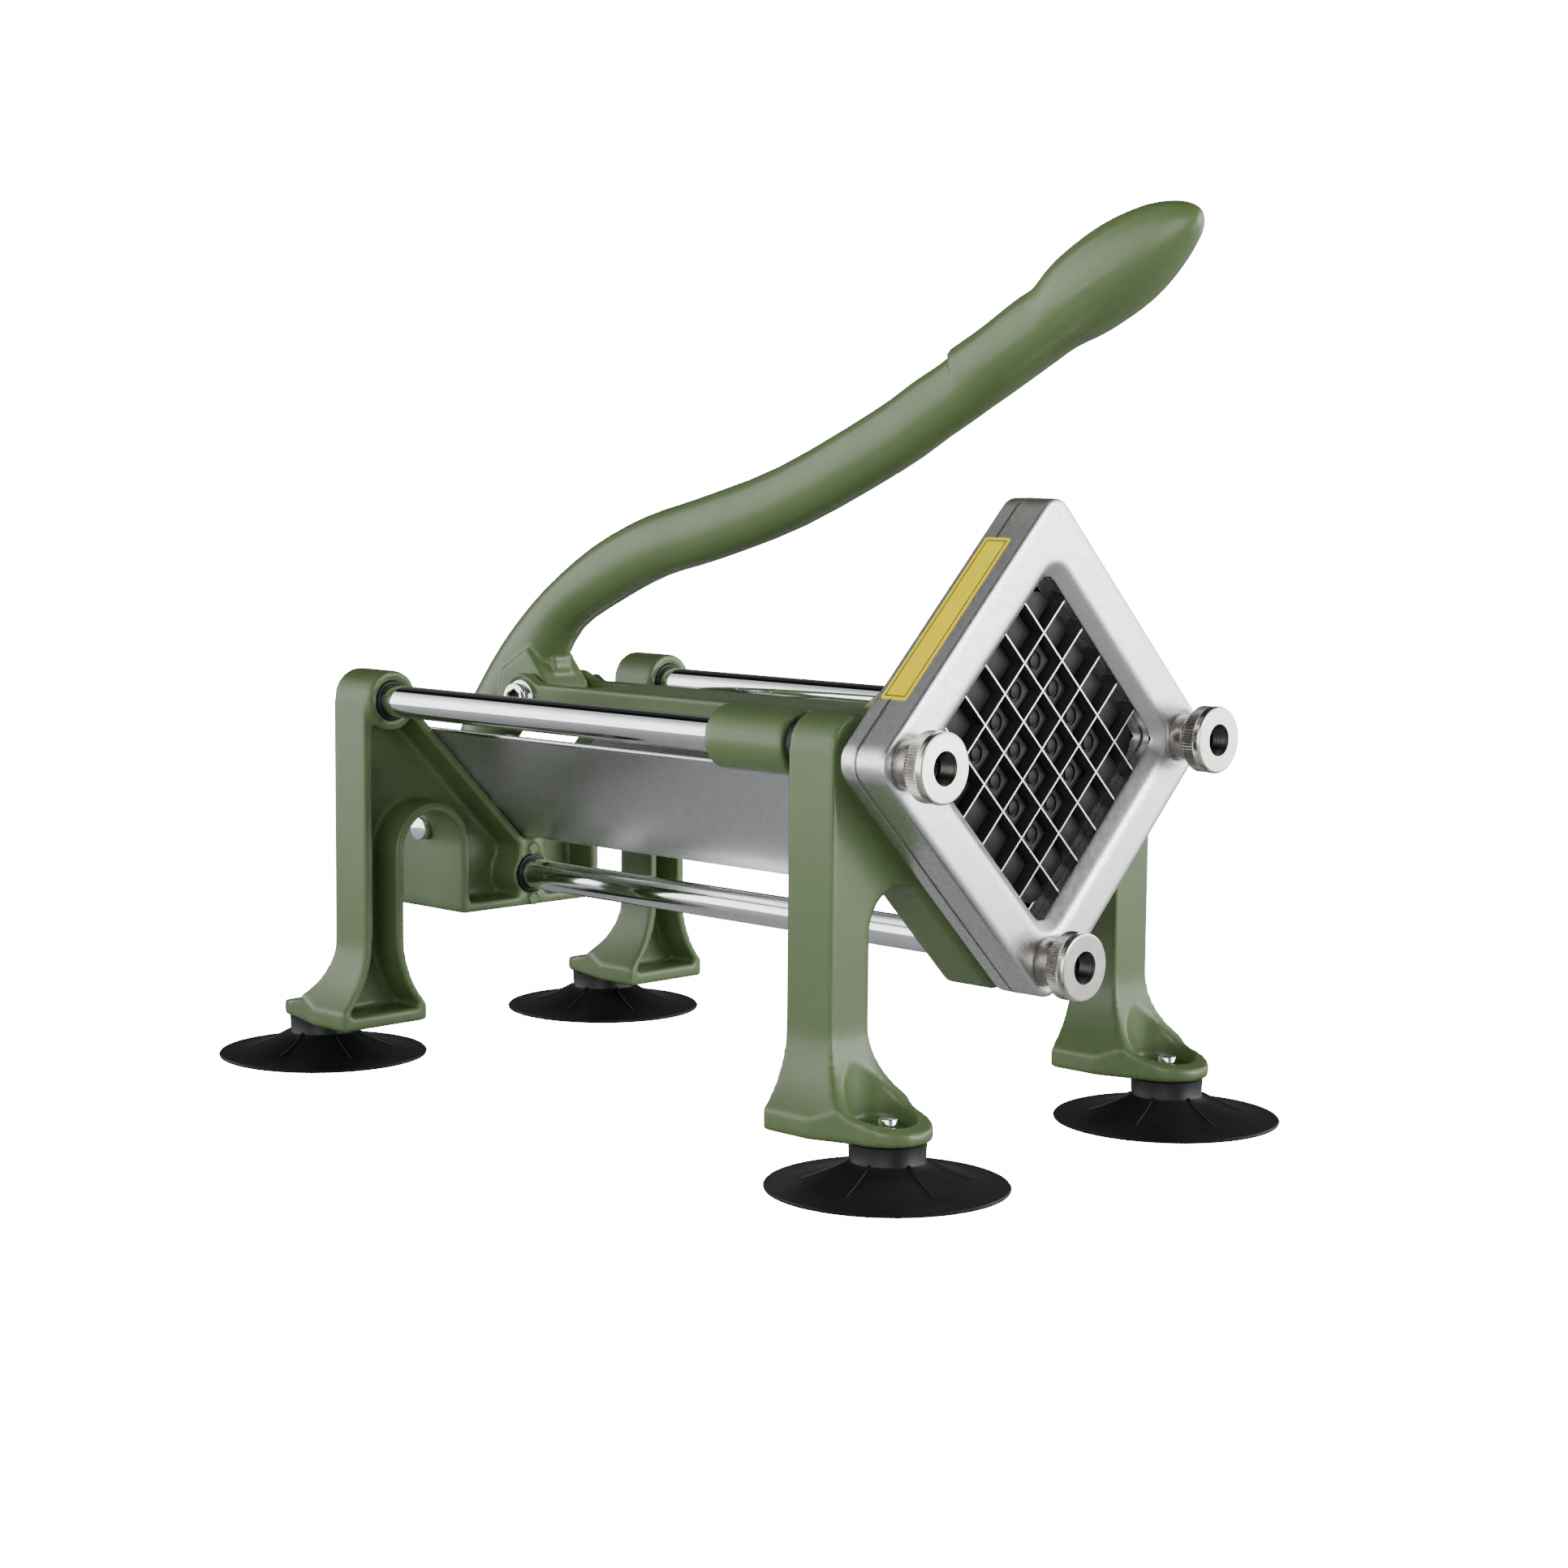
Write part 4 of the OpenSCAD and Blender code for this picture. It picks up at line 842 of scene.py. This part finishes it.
class PRESS_OT_cups(bpy.types.Operator):
    """Mould the four suction cups with their collars and ribs"""
    bl_idname = "press.cups"
    bl_label = "Suction cups"

    rim_soft = 0.4 * MM  # the skirt's curve ends this far inside the rim

    def execute(self, context):
        s = context.scene.press_sizes
        hard_angle, rib_start = math.radians(40), 0.25
        for node in ("cup_front_left", "cup_front_right", "cup_rear_left", "cup_rear_right"):
            low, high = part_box(node)
            centre = middle(node)
            rim = (high.x - low.x) / 2
            bm = bmesh.new()
            lathe(bm, self.outline(s, rim, high.z), ROUND_STEPS)
            for i in range(s.cup_ribs):
                self.rib(bm, s, rim, (i + rib_start) / s.cup_ribs * FULL_TURN)
            bm.transform(Matrix.Translation((centre.x, centre.y, 0)))
            mesh = mesh_of(bm, node)
            smooth(mesh, hard_angle)
            keep(mesh, node + "_moulded", "press", rubber(), (node,))
        return {"FINISHED"}

    def skirt(self, s, out):
        """Height of the skirt's upper side, from 0 at the collar to 1 at the rim."""
        return s.skirt_edge + (s.cup_shoulder - s.skirt_edge) * (1 - out) ** s.skirt_bend

    def outline(self, s, rim, tall):
        """Collar, skirt, rim and hollow of a cup."""
        edge, taper, lip = 0.5 * MM, 0.3 * MM, 1.2 * MM
        steps, rise, bend = 9, 1.25, 1.3  # how fast the hollow rises from the rim, and its curve
        collar = rim * s.cup_collar
        profile = [(s.cup_hole, tall), (collar - edge, tall), (collar, tall - edge),
                   (collar - taper, s.cup_shoulder + edge)]
        for i in range(steps + 1):
            out = i / steps
            profile.append((collar + (rim - self.rim_soft - collar) * out, self.skirt(s, out)))
        profile += [(rim, 0.6 * MM), (rim - 0.2 * MM, 0.05 * MM), (rim - lip, 0)]
        for i in range(steps):
            inward = (i + 1) / steps
            profile.append((rim - lip + (s.cup_hole - rim + lip) * inward,
                            s.cup_hollow * min(1.0, inward * rise) ** bend))
        return profile

    def rib(self, bm, s, rim, turn):
        """A thin rib that starts on the collar and ends short of the rim."""
        in_collar, in_skirt = 0.8 * MM, 0.9 * MM  # how deep the rib is sunk
        fall, tip, top = 0.45, 0.15, 0.45  # height lost on the way, height left at the end, thickness on top
        one = bmesh.new()
        bmesh.ops.create_cube(one, size=1.0)
        runs = [e for e in one.edges if abs(e.verts[0].co.x - e.verts[1].co.x) > 0.5]
        bmesh.ops.subdivide_edges(one, edges=runs, cuts=9)
        collar = rim * s.cup_collar
        start, stop = collar - in_collar, rim * s.rib_reach
        for v in one.verts:
            t = v.co.x + 0.5
            radius = start + (stop - start) * t
            skirt = self.skirt(s, max(0.0, (radius - collar) / (rim - self.rim_soft - collar)))
            raised = s.rib_rise * (1 - fall * t) if t < 0.99 else tip * s.rib_rise
            thick = s.rib_thick * (1.0 if v.co.z < 0 else top)
            v.co = Vector((radius, v.co.y * thick, skirt + raised if v.co.z > 0 else skirt - in_skirt))
        bmesh.ops.rotate(one, verts=one.verts, cent=(0, 0, 0), matrix=Matrix.Rotation(turn, 3, "Z"))
        join(bm, one)


class PRESS_OT_linkage(bpy.types.Operator):
    """Finish the links, pins, bolts, washers and screws"""
    bl_idname = "press.linkage"
    bl_label = "Linkage and fasteners"

    def execute(self, context):
        bevels_mm = (("swing_links", "links", 0.5), ("pull_pin", "links", 0.5),
                     ("link_pivot_bolts", "press", 0.5), ("link_spacers", "press", 0.3),
                     ("stop_bolt", "press", 0.6), ("handle_pivot_bolt", "carriage", 0.7),
                     ("handle_pivot_nut", "carriage", 0.5), ("handle_pivot_washers", "carriage", 0.25),
                     ("rod_end_screws", "press", 0.6), ("cup_studs", "press", 0.5),
                     ("mounting_studs", "press", 0.6), ("pusher_screws", "carriage", 0.4),
                     ("cassette_screws", "press", 0.3))
        for node, body, width in bevels_mm:
            edged(node, node + "_finished", body, chrome(), width * MM)
        self.socket(context.scene.press_sizes)
        for node in ("front_buffers", "rear_buffers"):
            edged(node, node + "_finished", "press", rubber(), 0.4 * MM)
        edged("slide_bushes", "slide_bushes_finished", "carriage", bronze(), 0.3 * MM)
        return {"FINISHED"}

    def socket(self, s):
        """The hexagon socket in the pivot bolt's head gets painted shade inside its recess."""
        face_in, floor_in = 0.3 * MM, 2.6 * MM  # from the head's outer face to where the dark begins and ends
        mesh = bpy.data.objects["handle_pivot_bolt_finished"].data
        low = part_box("handle_pivot_bolt")[0]
        centre = middle("handle_pivot_bolt")
        mesh.materials.append(ink_and_shade())
        for face in mesh.polygons:
            off = math.hypot(face.center.y - centre.y, face.center.z - centre.z)
            if off < s.socket and face_in < face.center.x - low.x < floor_in:
                # painted shade inside the socket
                face.material_index = 1


class PRESS_OT_stage(bpy.types.Operator):
    """Lay the pale floor, hang the lights and set up the camera"""
    bl_idname = "press.stage"
    bl_label = "Stage"

    def execute(self, context):
        g = context.scene.press_stage
        self.floor(g)
        self.world(g)
        self.light("key_light", g.key, size=1.3, place=(-1.55, -0.95, 0.35), target=(0, -0.05, 0.10))
        self.light("side_light", g.fill, size=1.1, place=(0.75, -1.55, 0.35), target=(0, 0, 0.1))
        self.camera(context, g)
        return {"FINISHED"}

    def floor(self, g):
        """A small pale floor that is as bright as the backdrop to the camera, and to nothing else."""
        bm = bmesh.new()
        bmesh.ops.create_grid(bm, x_segments=8, y_segments=8, size=g.floor_half)
        mesh = mesh_of(bm, "floor")
        material = finish("Pale floor", g.floor, darker(g.floor, 0.995), (0.5, 0.6), cloud=2.0,
                          wave=(40.0, 0.2), grain=(300.0, 0.1), depth=0.00001, emission_color=(1, 1, 1, 1))
        tree = material.node_tree
        seen = tree.nodes.new("ShaderNodeLightPath")
        level = spread(tree, seen.outputs["Is Camera Ray"], 0.0, 1.0, 0.0, g.backdrop * g.floor_match)
        tree.links.new(level, tree.nodes["Principled BSDF"].inputs["Emission Strength"])
        mesh.materials.append(material)
        floor = bpy.data.objects.new("floor", mesh)
        bpy.context.scene.collection.objects.link(floor)

    def world(self, g):
        """A plain backdrop for the camera, and bright and dark screens all round for the light."""
        world = bpy.data.worlds.new("Studio")
        world.use_nodes = True
        bpy.context.scene.world = world
        tree = world.node_tree
        back = tree.nodes["Background"]
        place = tree.nodes.new("ShaderNodeTexCoord")
        split = tree.nodes.new("ShaderNodeSeparateXYZ")
        tree.links.new(place.outputs["Generated"], split.inputs["Vector"])
        back.inputs["Color"].default_value = (1, 1, 1, 1)
        x, y, z = (spread(tree, split.outputs[axis], -1.0, 1.0, 0.0, 1.0) for axis in "XYZ")
        behind = self.screens(tree, x, ((0.0, g.left), (0.42, g.left), (0.45, g.gap), (0.55, g.gap),
                                        (0.58, g.right)))
        ahead = self.screens(tree, x, ((0.0, g.near), (0.5, g.near), (0.65, g.front)))
        level = spread(tree, y, 0.45, 0.55, ahead, behind)
        upward = self.screens(tree, z, ((0.0, 1.0), (0.66, 1.0), (0.80, 0.25), (0.88, g.over)))
        level = spread(tree, upward, 0.0, 1.0, 0.0, level)
        seen = tree.nodes.new("ShaderNodeLightPath")
        level = spread(tree, seen.outputs["Is Camera Ray"], 0.0, 1.0, level, g.backdrop)
        tree.links.new(level, back.inputs["Strength"])

    def screens(self, tree, place, stops):
        """Light that changes along one axis. The places run from 0 at its low end to 1 at its high end."""
        ramp = tree.nodes.new("ShaderNodeValToRGB")
        most = max(level for _, level in stops)
        while len(ramp.color_ramp.elements) < len(stops):
            ramp.color_ramp.elements.new(0.5)
        for element, (at, level) in zip(ramp.color_ramp.elements, stops):
            element.position = at
            element.color = (level / most, level / most, level / most, 1)
        tree.links.new(place, ramp.inputs["Fac"])
        return spread(tree, ramp.outputs["Color"], 0.0, 1.0, 0.0, most)

    def light(self, name, power, size, place, target):
        """A square lamp that faces a point."""
        lamp = bpy.data.lights.new(name, "AREA")
        lamp.energy = power
        lamp.shape = "SQUARE"
        lamp.size = size
        obj = bpy.data.objects.new(name, lamp)
        aim = Vector(target) - Vector(place)
        obj.rotation_euler = aim.to_track_quat("-Z", "Y").to_euler()
        obj.location = place
        bpy.context.scene.collection.objects.link(obj)

    def camera(self, context, g):
        """The camera at the photograph's angle."""
        data = bpy.data.cameras.new("camera")
        data.sensor_width = 36.0
        data.lens = g.lens
        data.clip_end = 50.0
        obj = bpy.data.objects.new("camera", data)
        ahead = Vector((math.sin(g.turn) * math.cos(g.dip), math.cos(g.turn) * math.cos(g.dip),
                        -math.sin(g.dip)))
        right = Vector((math.cos(g.turn), -math.sin(g.turn), 0))
        up = right.cross(ahead)
        side = right * math.cos(g.roll) + up * math.sin(g.roll)
        top = up * math.cos(g.roll) - right * math.sin(g.roll)
        turn = Matrix((side, top, -ahead)).transposed().to_4x4()
        obj.matrix_world = Matrix.Translation(g.place) @ turn
        bpy.context.scene.collection.objects.link(obj)
        context.scene.camera = obj


STEPS = (PRESS_OT_castings, PRESS_OT_cassette, PRESS_OT_rods, PRESS_OT_trough, PRESS_OT_blades, PRESS_OT_pins,
         PRESS_OT_thumb_nuts, PRESS_OT_cups, PRESS_OT_linkage, PRESS_OT_stage)


class PRESS_PT_panel(bpy.types.Panel):
    """Lists the steps that build the look"""
    bl_idname = "PRESS_PT_panel"
    bl_label = "Potato press"
    bl_space_type = "VIEW_3D"
    bl_region_type = "UI"
    bl_category = "Press"

    def draw(self, context):
        for step in STEPS:
            self.layout.operator(step.bl_idname)


CLASSES = (PressSizes, PressColours, PressStage) + STEPS + (PRESS_PT_panel,)


def register():
    for cls in CLASSES:
        bpy.utils.register_class(cls)
    bpy.types.Scene.press_sizes = PointerProperty(type=PressSizes)
    bpy.types.Scene.press_colours = PointerProperty(type=PressColours)
    bpy.types.Scene.press_stage = PointerProperty(type=PressStage)


def unregister():
    del bpy.types.Scene.press_stage, bpy.types.Scene.press_colours, bpy.types.Scene.press_sizes
    for cls in reversed(CLASSES):
        bpy.utils.unregister_class(cls)


def main():
    register()
    for step in STEPS:
        family, name = step.bl_idname.split(".")
        if getattr(getattr(bpy.ops, family), name)() != {"FINISHED"}:
            raise RuntimeError(step.bl_label + " did not finish")


if __name__ == "__main__":
    main()
